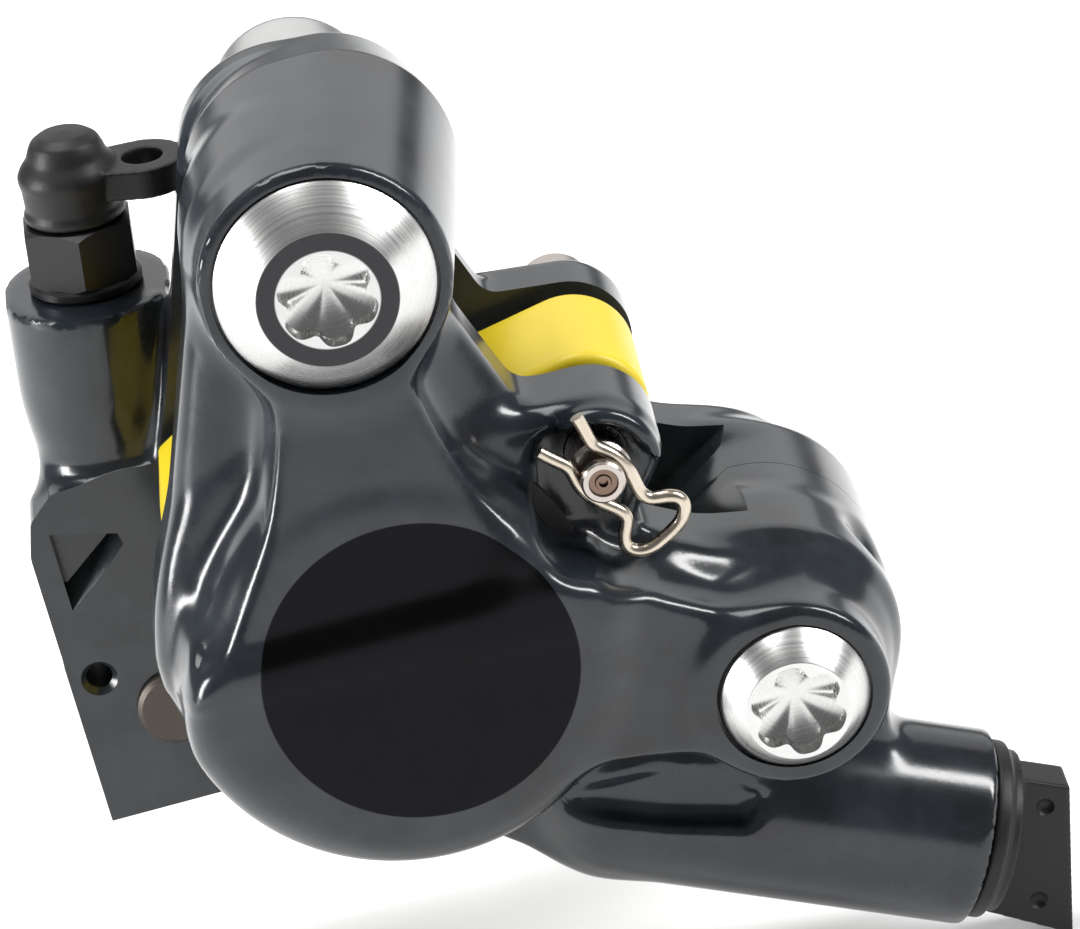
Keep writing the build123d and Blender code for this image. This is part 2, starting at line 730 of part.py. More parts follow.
def pad_axle():
    """Pin through both ears and the bleed block, grooved at its near tip, headed at its far end."""
    tip_y = disc_y - axle_front
    groove_y = tip_y + axle_tip_length
    shoulder_y = groove_y + axle_groove_width
    return turned(axle, [
        (0, tip_y),
        (axle_tip_radius - axle_chamfer, tip_y),
        (axle_tip_radius, tip_y + axle_chamfer),
        (axle_tip_radius, groove_y),
        (axle_groove_radius, groove_y),
        (axle_groove_radius, shoulder_y),
        (axle_radius - axle_chamfer, shoulder_y),
        (axle_radius, shoulder_y + axle_chamfer),
        (axle_radius, far_face_y),
        (axle_head_radius, far_face_y),
        (axle_head_radius, far_face_y + axle_head_length - axle_chamfer),
        (axle_head_radius - axle_chamfer, far_face_y + axle_head_length),
        (0, far_face_y + axle_head_length),
    ])


def axle_snap_retainer():
    """Bent wire clip: open jaws over the axle's groove, and a loop to grip it by."""
    grip = axle_groove_radius + retainer_grip + wire_radius
    one_side = [
        (-retainer_tip_reach, retainer_tip_spread),
        (-retainer_neck_reach, retainer_neck_spread),
        (-grip / 2, grip),
        (grip / 2, grip),
        (retainer_waist_reach, retainer_waist_spread),
        (retainer_loop_reach - retainer_loop_spread, retainer_loop_spread),
        (retainer_loop_reach, retainer_loop_spread),
    ]
    other_side = [(reach, -spread) for reach, spread in reversed(one_side)]
    radii = [retainer_bend] * 5 + [retainer_loop_bend] * 2 + [retainer_bend] * 5
    wire_y = disc_y - axle_front + axle_tip_length + axle_groove_width / 2
    plane = Plane(
        origin=(axle_x, wire_y, axle_z),
        x_dir=(cos(radians(retainer_lean)), 0, -sin(radians(retainer_lean))),
        z_dir=(0, -1, 0))
    path = plane * FilletPolyline(*(one_side + other_side), radius=radii)
    return sweep(Plane(origin=path @ 0, z_dir=path % 0) * RegularPolygon(wire_radius, wire_sides), path=path)


def pad_spacer():
    """Bleed block: a chamfered block between the pistons and an ear for the axle."""
    corners = [
        (-block_half_width, block_chamfer - block_inner_reach),
        (block_chamfer - block_half_width, -block_inner_reach),
        (block_half_width - block_chamfer, -block_inner_reach),
        (block_half_width, block_chamfer - block_inner_reach),
        (block_half_width, block_outer_reach - block_chamfer),
        (block_half_width - block_chamfer, block_outer_reach),
        (block_chamfer - block_half_width, block_outer_reach),
        (-block_half_width, block_outer_reach - block_chamfer),
    ]
    outline = make_face(Polyline(*[along_outward(side, reach) for side, reach in corners], close=True))
    section = outline + strap(piston_axis, block_outer_reach, axle, block_ear_radius)
    block = slab(section, disc_y - block_thickness / 2, disc_y + block_thickness / 2)
    block = chamfer(block.faces().filter_by(Axis.Y).edges(), block_edge)
    return block - rod(axle, axle_radius + block_axle_clearance, near_slot_y, far_slot_y)


def hose_port_plug():
    """Rubber plug: stem in the port, collar on the tube's mouth, skewed flat tab to pull it by."""
    plug = extrude(hose_frame(plug_seat_gap) * Circle(plug_collar_radius), amount=plug_collar_length)
    plug += extrude(hose_frame(-plug_stem_length) * Circle(plug_stem_radius),
                    amount=plug_stem_length + plug_collar_length / 2)
    tab_plane = Plane(
        origin=(hose_end_x, hose_y, hose_end_z), x_dir=(hose_dir[0], 0, hose_dir[1]), z_dir=(0, -1, 0))
    root = plug_seat_gap + plug_collar_length / 2
    tab = make_face(Polyline(
        (root, plug_tab_top),
        (plug_tab_top_reach, plug_tab_top),
        (plug_tab_bottom_reach, -plug_tab_bottom),
        (root, -plug_tab_bottom + plug_tab_corner),
        close=True))
    tab_solid = extrude(tab_plane * tab, amount=plug_tab_thickness / 2, both=True)
    tips = tab_solid.edges().filter_by(Axis.Y).sort_by(
        Axis((0, 0, 0), (hose_dir[0], 0, hose_dir[1])))[-2:]
    return plug + fillet(tips, plug_tab_corner)


def passage_plug():
    """Pressed plug that closes a drilled passage beside the foot."""
    front = far_slot_y - passage_plug_proud
    return turned((passage_plug_x, passage_plug_z), [
        (0, front),
        (passage_plug_radius - passage_plug_edge, front),
        (passage_plug_radius, front + passage_plug_edge),
        (passage_plug_radius, far_slot_y + passage_plug_depth),
        (0, far_slot_y + passage_plug_depth),
    ])


parts = {
    "inboard_body": inboard_body(),
    "outboard_body": outboard_body(),
    "upper_body_bolt": body_bolt(
        upper_bolt, upper_bolt_radius, upper_head_radius, upper_head_height, upper_head_land,
        upper_socket_radius, upper_seat_y, nut_seat_y + nut_thread_depth - bolt_chamfer),
    "upper_bolt_nut": upper_bolt_nut(),
    "lower_body_bolt": body_bolt(
        lower_bolt, lower_bolt_radius, lower_head_radius, lower_head_height, lower_head_land,
        lower_socket_radius, lower_seat_y, disc_y + lower_bolt_tail),
    "inboard_piston": piston(-1),
    "outboard_piston": piston(1),
    "inboard_piston_seal": piston_seal(-1),
    "outboard_piston_seal": piston_seal(1),
    "crossover_o_ring": crossover_o_ring(),
    "bleed_nipple": bleed_nipple(),
    "bleed_cap": bleed_cap(),
    "pad_axle": pad_axle(),
    "axle_snap_retainer": axle_snap_retainer(),
    "pad_spacer": pad_spacer(),
    "hose_port_plug": hose_port_plug(),
    "passage_plug": passage_plug(),
}
for node, shape in parts.items():
    export_step(shape, f"parts/{node}.step")
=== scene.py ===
from math import atan2, cos, pi, radians, sin

import bmesh
import bpy
import numpy as np
from mathutils import Matrix, Vector


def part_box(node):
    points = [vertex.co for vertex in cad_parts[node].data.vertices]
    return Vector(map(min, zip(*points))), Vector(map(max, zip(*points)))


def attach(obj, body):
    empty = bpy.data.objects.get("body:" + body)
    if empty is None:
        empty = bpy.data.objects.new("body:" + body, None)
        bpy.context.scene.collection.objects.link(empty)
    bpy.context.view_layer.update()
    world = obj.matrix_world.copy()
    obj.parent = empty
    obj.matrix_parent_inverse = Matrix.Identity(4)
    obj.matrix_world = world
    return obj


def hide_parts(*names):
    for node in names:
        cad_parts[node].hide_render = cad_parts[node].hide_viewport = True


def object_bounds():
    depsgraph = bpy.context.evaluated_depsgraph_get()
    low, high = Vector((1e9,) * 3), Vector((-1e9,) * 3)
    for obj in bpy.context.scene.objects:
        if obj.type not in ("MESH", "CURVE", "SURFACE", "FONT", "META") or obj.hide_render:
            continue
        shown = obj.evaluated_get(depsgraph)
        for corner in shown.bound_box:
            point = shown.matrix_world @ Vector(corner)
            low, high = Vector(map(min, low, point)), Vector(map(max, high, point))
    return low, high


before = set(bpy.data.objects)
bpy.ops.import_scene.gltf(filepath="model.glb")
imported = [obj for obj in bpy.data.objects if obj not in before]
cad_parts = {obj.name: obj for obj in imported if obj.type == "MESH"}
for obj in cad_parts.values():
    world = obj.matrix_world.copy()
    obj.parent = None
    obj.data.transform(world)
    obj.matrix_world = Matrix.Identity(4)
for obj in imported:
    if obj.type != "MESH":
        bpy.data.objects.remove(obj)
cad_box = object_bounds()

# The view. A long lens looks down on the wheel side of the caliper, rolled a little, so that the
# mounting face leans. Lengths in this script are millimetres until a mesh is finished.
MM = 0.001
lens_length = 214.2
sensor_width = 36.0
view_place = Vector((17.0, -394.1, 197.8))
view_right = Vector((0.9658, -0.0958, -0.2408))
view_up = Vector((0.2587, 0.4112, 0.8741))
view_back = Vector((0.0152, -0.9065, 0.4219))

camera = bpy.data.objects.new("view_camera", bpy.data.cameras.new("view_camera"))
camera.data.lens = lens_length
camera.data.sensor_width = sensor_width
camera.data.clip_start = 0.01
camera.data.clip_end = 20.0
view_turn = Matrix((view_right, view_up, view_back)).transposed()
camera.matrix_world = Matrix.Translation(view_place * MM) @ view_turn.to_4x4()
bpy.context.collection.objects.link(camera)
bpy.context.scene.camera = camera
bpy.context.scene.view_settings.view_transform = "Standard"


# The floor and the light. A pale matt floor lies just below the part. A large soft light hangs
# above it, one stands at each side, and a weaker one stands behind.
class Reading:
    """A value that changes over a surface. Its sums, products and powers add their own nodes."""

    def __init__(self, finish, socket):
        self.finish = finish
        self.socket = socket

    def math(self, operation, first, second):
        return self.finish.node("ShaderNodeMath", {"operation": operation}, {0: first, 1: second})

    def __add__(self, other):
        return self.math("ADD", self, other)

    def __sub__(self, other):
        return self.math("SUBTRACT", self, other)

    def __rsub__(self, other):
        return self.math("SUBTRACT", other, self)

    def __mul__(self, other):
        return self.math("MULTIPLY", self, other)

    def __pow__(self, other):
        return self.math("POWER", self, other)

    __radd__ = __add__
    __rmul__ = __mul__

    def least(self, other):
        return self.math("MINIMUM", self, other)

    def between(self, low, high):
        """0 below low, 1 above high, and a straight ramp between."""
        return self.finish.node("ShaderNodeMapRange", {"clamp": True},
                                {"Value": self, "From Min": low, "From Max": high})


class Finish:
    """A surface finish: one Principled shader and the nodes that feed it."""

    def __init__(self, name, **constants):
        self.material = bpy.data.materials.new(name)
        self.material.use_nodes = True
        self.tree = self.material.node_tree
        self.shader = next(n for n in self.tree.nodes if n.type == "BSDF_PRINCIPLED")
        for socket, value in constants.items():
            self.shader.inputs[socket.replace("_", " ")].default_value = value
        self.place = self.node("ShaderNodeTexCoord", {}, {}, "Object")

    def node(self, kind, settings, values, output=0):
        made = self.tree.nodes.new(kind)
        for setting, value in settings.items():
            setattr(made, setting, value)
        for key, value in values.items():
            if isinstance(key, int):
                socket = made.inputs[key]
            else:
                socket = next(s for s in made.inputs if s.name == key and s.enabled)
            if isinstance(value, Reading):
                self.tree.links.new(value.socket, socket)
            else:
                socket.default_value = value
        return Reading(self, made.outputs[output])

    def axis(self, letter):
        """One coordinate of the place on the part, in millimetres."""
        parts = self.node("ShaderNodeSeparateXYZ", {}, {0: self.place}, letter)
        return parts * (1 / MM)

    def noise(self, size, detail=3.0, roughness=0.55):
        """Cloudy variation whose blotches are about that many millimetres across."""
        return self.node("ShaderNodeTexNoise", {"noise_dimensions": "3D"}, {
            "Vector": self.place, "Scale": 1 / (size * MM),
            "Detail": detail, "Roughness": roughness})

    def blend(self, share, first, second):
        """Colour between two colours."""
        made = self.tree.nodes.new("ShaderNodeMix")
        made.data_type = "RGBA"
        for identifier, value in (("Factor_Float", share), ("A_Color", first), ("B_Color", second)):
            socket = next(s for s in made.inputs if s.identifier == identifier)
            if isinstance(value, Reading):
                self.tree.links.new(value.socket, socket)
            elif identifier == "Factor_Float":
                socket.default_value = value
            else:
                socket.default_value = (*value, 1.0)
        return Reading(self, next(s for s in made.outputs if s.identifier == "Result_Color"))

    def set(self, **readings):
        for socket, value in readings.items():
            self.tree.links.new(value.socket, self.shader.inputs[socket.replace("_", " ")])

    def from_axis(self, centre):
        """Distance in millimetres from an axis along Y through (x, z)."""
        return ((self.axis("X") - centre[0]) ** 2.0 + (self.axis("Z") - centre[1]) ** 2.0) ** 0.5

    def turning_marks(self, distance, pitch):
        """Fine rings left by a cutting tool, about pitch millimetres apart."""
        return self.node("ShaderNodeTexNoise", {"noise_dimensions": "1D"}, {
            "W": distance * (1 / pitch), "Scale": 1.0, "Detail": 3.0, "Roughness": 0.7})

    def bump(self, height, depth, strength=1.0):
        """Relief: height is 0 to 1, depth is what 1 stands for in millimetres."""
        made = self.node(
            "ShaderNodeBump", {}, {"Strength": strength, "Distance": depth * MM, "Height": height})
        self.tree.links.new(made.socket, self.shader.inputs["Normal"])


floor_gap = 0.4
floor_span = 3000.0
floor_low = cad_box[0][2] / MM - floor_gap

bm = bmesh.new()
bmesh.ops.create_grid(bm, x_segments=1, y_segments=1, size=floor_span / 2 * MM)
bmesh.ops.translate(bm, verts=bm.verts, vec=(0, 0, floor_low * MM))
floor_mesh = bpy.data.meshes.new("floor")
bm.to_mesh(floor_mesh)
bm.free()
floor = bpy.data.objects.new("floor", floor_mesh)
bpy.context.collection.objects.link(floor)
paper = Finish("floor_paper", Roughness=0.9)
paper.set(Base_Color=paper.blend(paper.noise(40.0), (0.86, 0.86, 0.86), (0.89, 0.89, 0.89)))
floor_mesh.materials.append(paper.material)

light_target = Vector((5, -13, 15))
room_brightness = 0.2
softboxes = (
    ("top_softbox", (-60, 60, 640), (420, 420), 4.4),
    ("left_softbox", (-560, -120, 200), (150, 340), 5.2),
    ("right_softbox", (520, -140, 400), (130, 380), 4.6),
    ("back_softbox", (40, 640, 340), (1100, 480), 1.8),
)
for name, place, size, power in softboxes:
    lamp = bpy.data.lights.new(name, "AREA")
    lamp.shape = "RECTANGLE"
    lamp.size = size[0] * MM
    lamp.size_y = size[1] * MM
    lamp.energy = power
    holder = bpy.data.objects.new(name, lamp)
    place = Vector(place)
    aimed = (light_target - place).to_track_quat("-Z", "Y").to_matrix().to_4x4()
    holder.matrix_world = Matrix.Translation(place * MM) @ aimed
    bpy.context.collection.objects.link(holder)

room = bpy.data.worlds.new("studio_room")
room.use_nodes = True
background = next(n for n in room.node_tree.nodes if n.type == "BACKGROUND")
background.inputs["Color"].default_value = (1.0, 1.0, 1.0, 1.0)
background.inputs["Strength"].default_value = room_brightness
bpy.context.scene.world = room


# The two cast halves. Aluminium castings with soft, flowing forms, machined at their seats, bores
# and joint, and painted a glossy dark grey. They are bolted together around the slot for the disc.
def reach(node, side):
    """Lowest (0) or highest (1) corner of a node's box in millimetres."""
    return [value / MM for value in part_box(node)[side]]


def across(node):
    """The middle of a node's box as a point (x, z) of the disc's plane, in millimetres."""
    low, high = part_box(node)
    return tuple((low[i] + high[i]) / 2 / MM for i in (0, 2))


piston_axis = across("inboard_piston")
upper_bolt = across("upper_body_bolt")
lower_bolt = across("lower_body_bolt")
pad_axle = across("pad_axle")
piston_proud = 0.2
near_slot = reach("inboard_piston", 1)[1] - piston_proud
far_slot = reach("outboard_piston", 0)[1] + piston_proud
disc_y = (near_slot + far_slot) / 2
parting = disc_y + 1.0


def soft_join(first, second, blend):
    """Distance to two forms that flow into each other over the width blend."""
    if not blend:
        return np.minimum(first, second)
    overlap = np.maximum(blend - np.abs(first - second), 0) / blend
    return np.minimum(first, second) - overlap * overlap * blend / 4


def rounded(sideways, lengthways, edge):
    """Distance to a bar, from the distances to its flank and to its ends, with a rounded rim."""
    flank = sideways + edge
    end = lengthways + edge
    outside = np.hypot(np.maximum(flank, 0), np.maximum(end, 0))
    return np.minimum(np.maximum(flank, end), 0) + outside - edge


class Form:
    """One form of a cast or moulded piece: its distance in space and a rough solid of it."""

    def __init__(self, distance, rough, blend, hollow=False):
        self.distance = distance
        self.rough = rough
        self.blend = blend
        self.hollow = hollow


def wrapped(bm):
    """Draws one tight skin over all the points of a mesh."""
    bmesh.ops.delete(bm, geom=list(bm.edges), context="EDGES_FACES")
    bmesh.ops.remove_doubles(bm, verts=bm.verts, dist=1e-4)
    hull = bmesh.ops.convex_hull(bm, input=bm.verts)
    inside = hull["geom_interior"] + hull["geom_unused"]
    inner = {part for part in inside if isinstance(part, bmesh.types.BMVert)}
    bmesh.ops.delete(bm, geom=list(inner), context="VERTS")
    bmesh.ops.recalc_face_normals(bm, faces=bm.faces)


def add_drum(bm, centre, radius, near, far):
    """Rough round bar along Y."""
    middle = Matrix.Translation((centre[0], (near + far) / 2, centre[1]))
    bmesh.ops.create_cone(
        bm, cap_ends=True, segments=40, radius1=radius, radius2=radius, depth=far - near,
        matrix=middle @ Matrix.Rotation(pi / 2, 4, "X"))


def link(start, start_radius, end, end_radius, near, far, edge, blend, hollow=False):
    """Bar along Y whose section is two rounds and their tangents."""
    run = np.array(end) - np.array(start)
    length = float(np.hypot(*run))
    ahead = run / length if length else np.array((1.0, 0.0))
    slope = (start_radius - end_radius) / length if length else 0.0
    rise = (1 - slope * slope) ** 0.5

    def distance(points):
        offset = points[:, (0, 2)] - np.array(start)
        forward = offset @ ahead
        aside = np.abs(offset @ np.array((-ahead[1], ahead[0])))
        at_start = np.hypot(forward, aside) - start_radius
        at_end = np.hypot(forward - length, aside) - end_radius
        between = aside * rise + forward * slope - start_radius
        turn_from = forward * rise - aside * slope
        section = np.where(turn_from > rise * length, at_end, between)
        section = np.where(turn_from < 0, at_start, section)
        return rounded(section, np.maximum(near - points[:, 1], points[:, 1] - far), edge)

    def rough(bm):
        add_drum(bm, start, start_radius, near, far)
        add_drum(bm, end, end_radius, near, far)
        wrapped(bm)

    return Form(distance, rough, blend, hollow)


def post(centre, radius, near, far, edge, blend):
    """Round bar along Y."""
    return link(centre, radius, centre, radius, near, far, edge, blend)


def boss(centre, radius, swell, near, full, far, edge, blend, taper=(0.0, 0.0)):
    """Bar along Y, round at its near end. From the depth full on, its section is drawn out along X
    by swell. A taper is how much it narrows to its far end, and the depth where that begins."""
    def distance(points):
        depth = points[:, 1]
        share = np.clip((depth - near) / max(full - near, 1e-6), 0, 1)
        aside = points[:, 0] - centre[0]
        aside = aside - np.clip(aside, 0, swell * share)
        section = np.hypot(aside, points[:, 2] - centre[1]) - radius
        section = section + taper[0] * np.clip((depth - taper[1]) / (far - taper[1]), 0, 1)
        return rounded(section, np.maximum(near - depth, depth - far), edge)

    def rough(bm):
        add_drum(bm, centre, radius, near, far)
        add_drum(bm, (centre[0] + swell, centre[1]), radius, full, far)
        wrapped(bm)

    return Form(distance, rough, blend)


def ridge(top, top_half, low, low_half, flare, near_top, near_low, far, edge, blend):
    """Bar along Y between two places (x, z). It is top_half wide each way at the top and flares to
    low_half by a power, and its near face slopes."""
    run = np.array(top) - np.array(low)
    length = float(np.hypot(*run))
    up = run / length
    aside_dir = np.array((up[1], -up[0]))

    def half_at(share):
        return top_half + (low_half - top_half) * (1 - share) ** flare

    def distance(points):
        offset = points[:, (0, 2)] - np.array(low)
        forward = offset @ up
        share = np.clip(forward / length, 0, 1)
        steep = (low_half - top_half) * flare * (1 - share) ** (flare - 1) / length
        sideways = (np.abs(offset @ aside_dir) - half_at(share)) / np.sqrt(1 + steep * steep)
        section = np.maximum(sideways, np.maximum(-forward, forward - length))
        near = near_low + (near_top - near_low) * share
        return rounded(section, np.maximum(near - points[:, 1], points[:, 1] - far), edge)

    def rough(bm):
        shares = [i / 8 for i in range(9)]
        one_side = [(share, half_at(share)) for share in shares]
        other_side = [(share, -half) for share, half in reversed(one_side)]
        for share, half in one_side + other_side:
            x, z = np.array(low) + share * run + half * aside_dir
            bm.verts.new((x, far, z))
        face = bm.faces.new(bm.verts)
        made = bmesh.ops.extrude_face_region(bm, geom=[face])["geom"]
        for vert in made:
            if isinstance(vert, bmesh.types.BMVert):
                share = float((np.array((vert.co.x, vert.co.z)) - np.array(low)) @ up) / length
                vert.co.y = near_low + (near_top - near_low) * share
        bmesh.ops.triangulate(bm, faces=bm.faces)
        bmesh.ops.recalc_face_normals(bm, faces=bm.faces)

    return Form(distance, rough, blend)


def trimmed(form, hollows):
    """A form with hollows taken out of it before it joins the others."""
    def distance(points):
        total = form.distance(points)
        for cut in hollows:
            total = -soft_join(-total, cut.distance(points), cut.blend)
        return total

    def rough(bm):
        bm.from_mesh(machined(as_mesh(solid_of(form)), [solid_of(cut) for cut in hollows]))

    return Form(distance, rough, form.blend)


def ball(centre, radius, blend, hollow=False):
    def distance(points):
        return np.linalg.norm(points - np.array(centre), axis=1) - radius

    def rough(bm):
        bmesh.ops.create_icosphere(
            bm, subdivisions=3, radius=radius, matrix=Matrix.Translation(centre))

    return Form(distance, rough, blend, hollow)


def pipe(start, end, radius, edge, blend, deeper=0.0, round_start=False, waist=None):
    """Round bar between two points of space; deeper draws its section out along Y. A waist is a
    smaller radius near the start, and the two distances along the bar between which it widens."""
    start = np.array(start, float)
    run = np.array(end, float) - start
    length = float(np.linalg.norm(run))
    ahead = run / length

    def distance(points):
        offset = points - start
        offset[:, 1] -= np.clip(offset[:, 1], -deeper, deeper)
        forward = offset @ ahead
        aside = np.linalg.norm(offset - forward[:, None] * ahead, axis=1)
        if waist:
            share = np.clip((forward - waist[1]) / (waist[2] - waist[1]), 0, 1)
            aside = aside + (radius - waist[0]) * (1 - share * share * (3 - 2 * share))
        if round_start:
            body = np.where(forward < 0, np.hypot(forward, aside), aside) - radius
            return rounded(body, forward - length, edge)
        return rounded(aside - radius, np.maximum(-forward, forward - length), edge)

    def rough(bm):
        turned = Vector(run).to_track_quat("Z", "Y").to_matrix().to_4x4()
        back = 0.8 * radius if round_start else 0.0
        for shift in (-deeper, deeper):
            middle = Vector(start + (run - back * ahead) / 2) + Vector((0, shift, 0))
            bmesh.ops.create_cone(
                bm, cap_ends=True, segments=40, radius1=radius, radius2=radius,
                depth=length + back, matrix=Matrix.Translation(middle) @ turned)
        wrapped(bm)

    return Form(distance, rough, blend)


def slab(corners, near, far, edge, blend, hollow=False):
    """Plate along Y with a convex outline of (x, z) corners, given counter-clockwise."""
    corners = np.array(corners, float)

    def distance(points):
        place = points[:, (0, 2)]
        section = np.full(len(points), -1e9)
        for first, second in zip(corners, np.roll(corners, -1, axis=0)):
            along = (second - first) / np.hypot(*(second - first))
            section = np.maximum(section, (place - first) @ np.array((along[1], -along[0])))
        return rounded(section, np.maximum(near - points[:, 1], points[:, 1] - far), edge)

    def rough(bm):
        for x, z in corners:
            bm.verts.new((x, near, z))
            bm.verts.new((x, far, z))
        wrapped(bm)

    return Form(distance, rough, blend, hollow)


def as_mesh(bm):
    mesh = bpy.data.meshes.new("being_made")
    bm.to_mesh(mesh)
    bm.free()
    return mesh


def solid_of(form):
    bm = bmesh.new()
    form.rough(bm)
    return bm


def finished_object(name, bm_or_mesh, sharp=32.0):
    """Puts a mesh in millimetres into the scene, in metres, with its crisp edges kept crisp."""
    mesh = as_mesh(bm_or_mesh) if isinstance(bm_or_mesh, bmesh.types.BMesh) else bm_or_mesh
    mesh.name = name
    mesh.transform(Matrix.Scale(MM, 4))
    mesh.shade_smooth()
    mesh.set_sharp_from_angle(angle=radians(sharp))
    piece = bpy.data.objects.new(name, mesh)
    bpy.context.collection.objects.link(piece)
    return piece


def with_modifier(mesh, kind, **settings):
    """The mesh after one modifier."""
    holder = bpy.data.objects.new("being_made", mesh)
    bpy.context.collection.objects.link(holder)
    modifier = holder.modifiers.new("step", kind)
    for setting, value in settings.items():
        setattr(modifier, setting, value)
    evaluated = holder.evaluated_get(bpy.context.evaluated_depsgraph_get())
    made = bpy.data.meshes.new_from_object(evaluated)
    bpy.data.objects.remove(holder)
    bpy.data.meshes.remove(mesh)
    return made


settling_rounds = 14
evening_rounds = 10
evening_share = 0.6
least_steepness = 0.2


def grown(forms, grain):
    """Mesh of joined forms: a rough union of them, settled on their flowing surface. In the first
    rounds each point also moves along the surface towards the middle of its neighbours."""
    mesh = as_mesh(solid_of(forms[0]))
    for form in forms[1:]:
        mesh = machined(mesh, [solid_of(form)], "DIFFERENCE" if form.hollow else "UNION")
    mesh = with_modifier(mesh, "REMESH", mode="VOXEL", voxel_size=grain)

    def surface(points):
        total = None
        for form in forms:
            part = form.distance(points)
            if total is None:
                total = part
            elif form.hollow:
                total = -soft_join(-total, part, form.blend)
            else:
                total = soft_join(total, part, form.blend)
        return total

    points = np.empty(len(mesh.vertices) * 3)
    mesh.vertices.foreach_get("co", points)
    points = points.reshape(-1, 3)
    ends = np.empty(len(mesh.edges) * 2, int)
    mesh.edges.foreach_get("vertices", ends)
    ends = ends.reshape(-1, 2)
    valence = np.bincount(ends.ravel(), minlength=len(points))[:, None]
    probe = grain / 20
    for round_number in range(settling_rounds):
        here = surface(points)
        probed = [surface(points + probe * np.eye(3)[i]) for i in range(3)]
        rise = np.stack([there - here for there in probed], axis=1) / probe
        steepness = np.maximum((rise * rise).sum(axis=1), least_steepness)
        step = -(here / steepness)[:, None] * rise
        size = np.linalg.norm(step, axis=1)[:, None]
        points = points + step * np.minimum(1, grain / np.maximum(size, 1e-9))
        if round_number < evening_rounds:
            neighbours = np.zeros_like(points)
            for axis in range(3):
                neighbours[:, axis] = (
                    np.bincount(ends[:, 0], points[ends[:, 1], axis], minlength=len(points))
                    + np.bincount(ends[:, 1], points[ends[:, 0], axis], minlength=len(points)))
            drift = neighbours / valence - points
            outward = rise / np.maximum(np.linalg.norm(rise, axis=1)[:, None], 1e-9)
            drift = drift - (drift * outward).sum(axis=1)[:, None] * outward
            points = points + evening_share * drift
    mesh.vertices.foreach_set("co", points.ravel())
    mesh.update()
    return mesh


def lathe(profile, centre=(0, 0), steps=72):
    """Turned solid about an axis along Y. Its profile of (radius, y) starts and ends on the axis."""
    bm = bmesh.new()
    verts = [bm.verts.new((radius, y, 0)) for radius, y in profile]
    edges = [bm.edges.new(pair) for pair in zip(verts, verts[1:])]
    bmesh.ops.spin(bm, geom=verts + edges, cent=(0, 0, 0), axis=(0, 1, 0), angle=2 * pi,
                   steps=steps, use_merge=True)
    bmesh.ops.remove_doubles(bm, verts=bm.verts, dist=1e-5)
    bmesh.ops.recalc_face_normals(bm, faces=bm.faces)
    bmesh.ops.translate(bm, verts=bm.verts, vec=(centre[0], 0, centre[1]))
    return bm


def block(low, high):
    bm = bmesh.new()
    bmesh.ops.create_cube(bm, size=1.0)
    bmesh.ops.scale(bm, verts=bm.verts, vec=[high[i] - low[i] for i in range(3)])
    bmesh.ops.translate(bm, verts=bm.verts, vec=[(high[i] + low[i]) / 2 for i in range(3)])
    return bm


def placing(start, direction):
    """Turns what was made along Y so that it runs from start in a direction of the disc's plane.
    What was made towards +Z then faces the wheel."""
    ahead = Vector(direction)
    turned = Matrix((Vector((ahead.z, 0, -ahead.x)), ahead, Vector((0, -1, 0)))).transposed()
    return Matrix.Translation(start) @ turned.to_4x4()


def laid_along(bm, start, direction):
    bmesh.ops.transform(bm, matrix=placing(start, direction), verts=bm.verts)
    return bm


def machined(mesh, cutters, operation="DIFFERENCE"):
    """The mesh after each cutter has been taken out of it."""
    for bm in cutters:
        tool_mesh = bpy.data.meshes.new("cutter")
        bm.to_mesh(tool_mesh)
        bm.free()
        tool = bpy.data.objects.new("cutter", tool_mesh)
        bpy.context.collection.objects.link(tool)
        mesh = with_modifier(mesh, "BOOLEAN", operation=operation, solver="MANIFOLD", object=tool)
        bpy.data.objects.remove(tool)
    return mesh


grain = 0.4
far_away = 60.0
near_face = near_slot - 5.65
near_lobe = near_slot - 12.25
bolt_seat = near_slot - 10.25
far_face = far_slot + 4.55
far_lobe = far_slot + 11.25
nut_seat = reach("upper_bolt_nut", 0)[1]
seam_gap = 0.03
seat_lip = 0.5

outward_turn = radians(31.0)
outward = np.array((cos(outward_turn), sin(outward_turn)))
along = np.array((sin(outward_turn), -cos(outward_turn)))


def beside(side, out):
    """A point (x, z) that far along the pads and that far outward from the piston axis."""
    return tuple(np.array(piston_axis) + side * along + out * outward)


piston_orbit = 69.0
wheel_axle = beside(0, -piston_orbit)
disc_room = 81.5
hose_drop = radians(25.7)
hose_dir = np.array((cos(hose_drop), 0, -sin(hose_drop)))
hose_mouth = np.array((31.9, disc_y - 9.5, -8.5))
tube_start = hose_mouth - 24.0 * hose_dir
bleed_lean = radians(7.3)
bleed_dir = np.array((sin(bleed_lean), 0, cos(bleed_lean)))
bleed_top = np.array((-15.4, disc_y + 13.0, 35.9))
mount_half = 17.0
foot_half = 23.8

rib_top = (upper_bolt[0] - 2.2, upper_bolt[1] + 0.2)
web_end = tuple(tube_start[[0, 2]])
web_mouth = tuple((hose_mouth - 8.0 * hose_dir)[[0, 2]])
crossing = near_slot + 3.5

# Three hollows take the housing's shoulder down to the plate: left of the neck, in the neck's own
# width, and above the arm.
left_of_neck = [(-26, 23), (-15.8, 16.2), (-14.0, 19.5), (-12.9, 24), (-10.6, 30), (-9, 40),
                (-26, 40)]
over_housing = [(-13, 21.3), (11, 21.3), (11, 40), (-13, 40)]
over_arm = [(9, 23.2), (17.5, 16.0), (20, 20), (20, 40), (9, 40)]
shoulder_level = near_face + 0.2
lobe = trimmed(post(piston_axis, 15.1, near_lobe, crossing, 3.7, 1.4), [
    slab(left_of_neck, -far_away, shoulder_level, 1.0, 1.8, hollow=True),
    slab(over_housing, -far_away, shoulder_level, 1.0, 1.6, hollow=True),
    slab(over_arm, -far_away, shoulder_level, 1.0, 1.6, hollow=True),
])

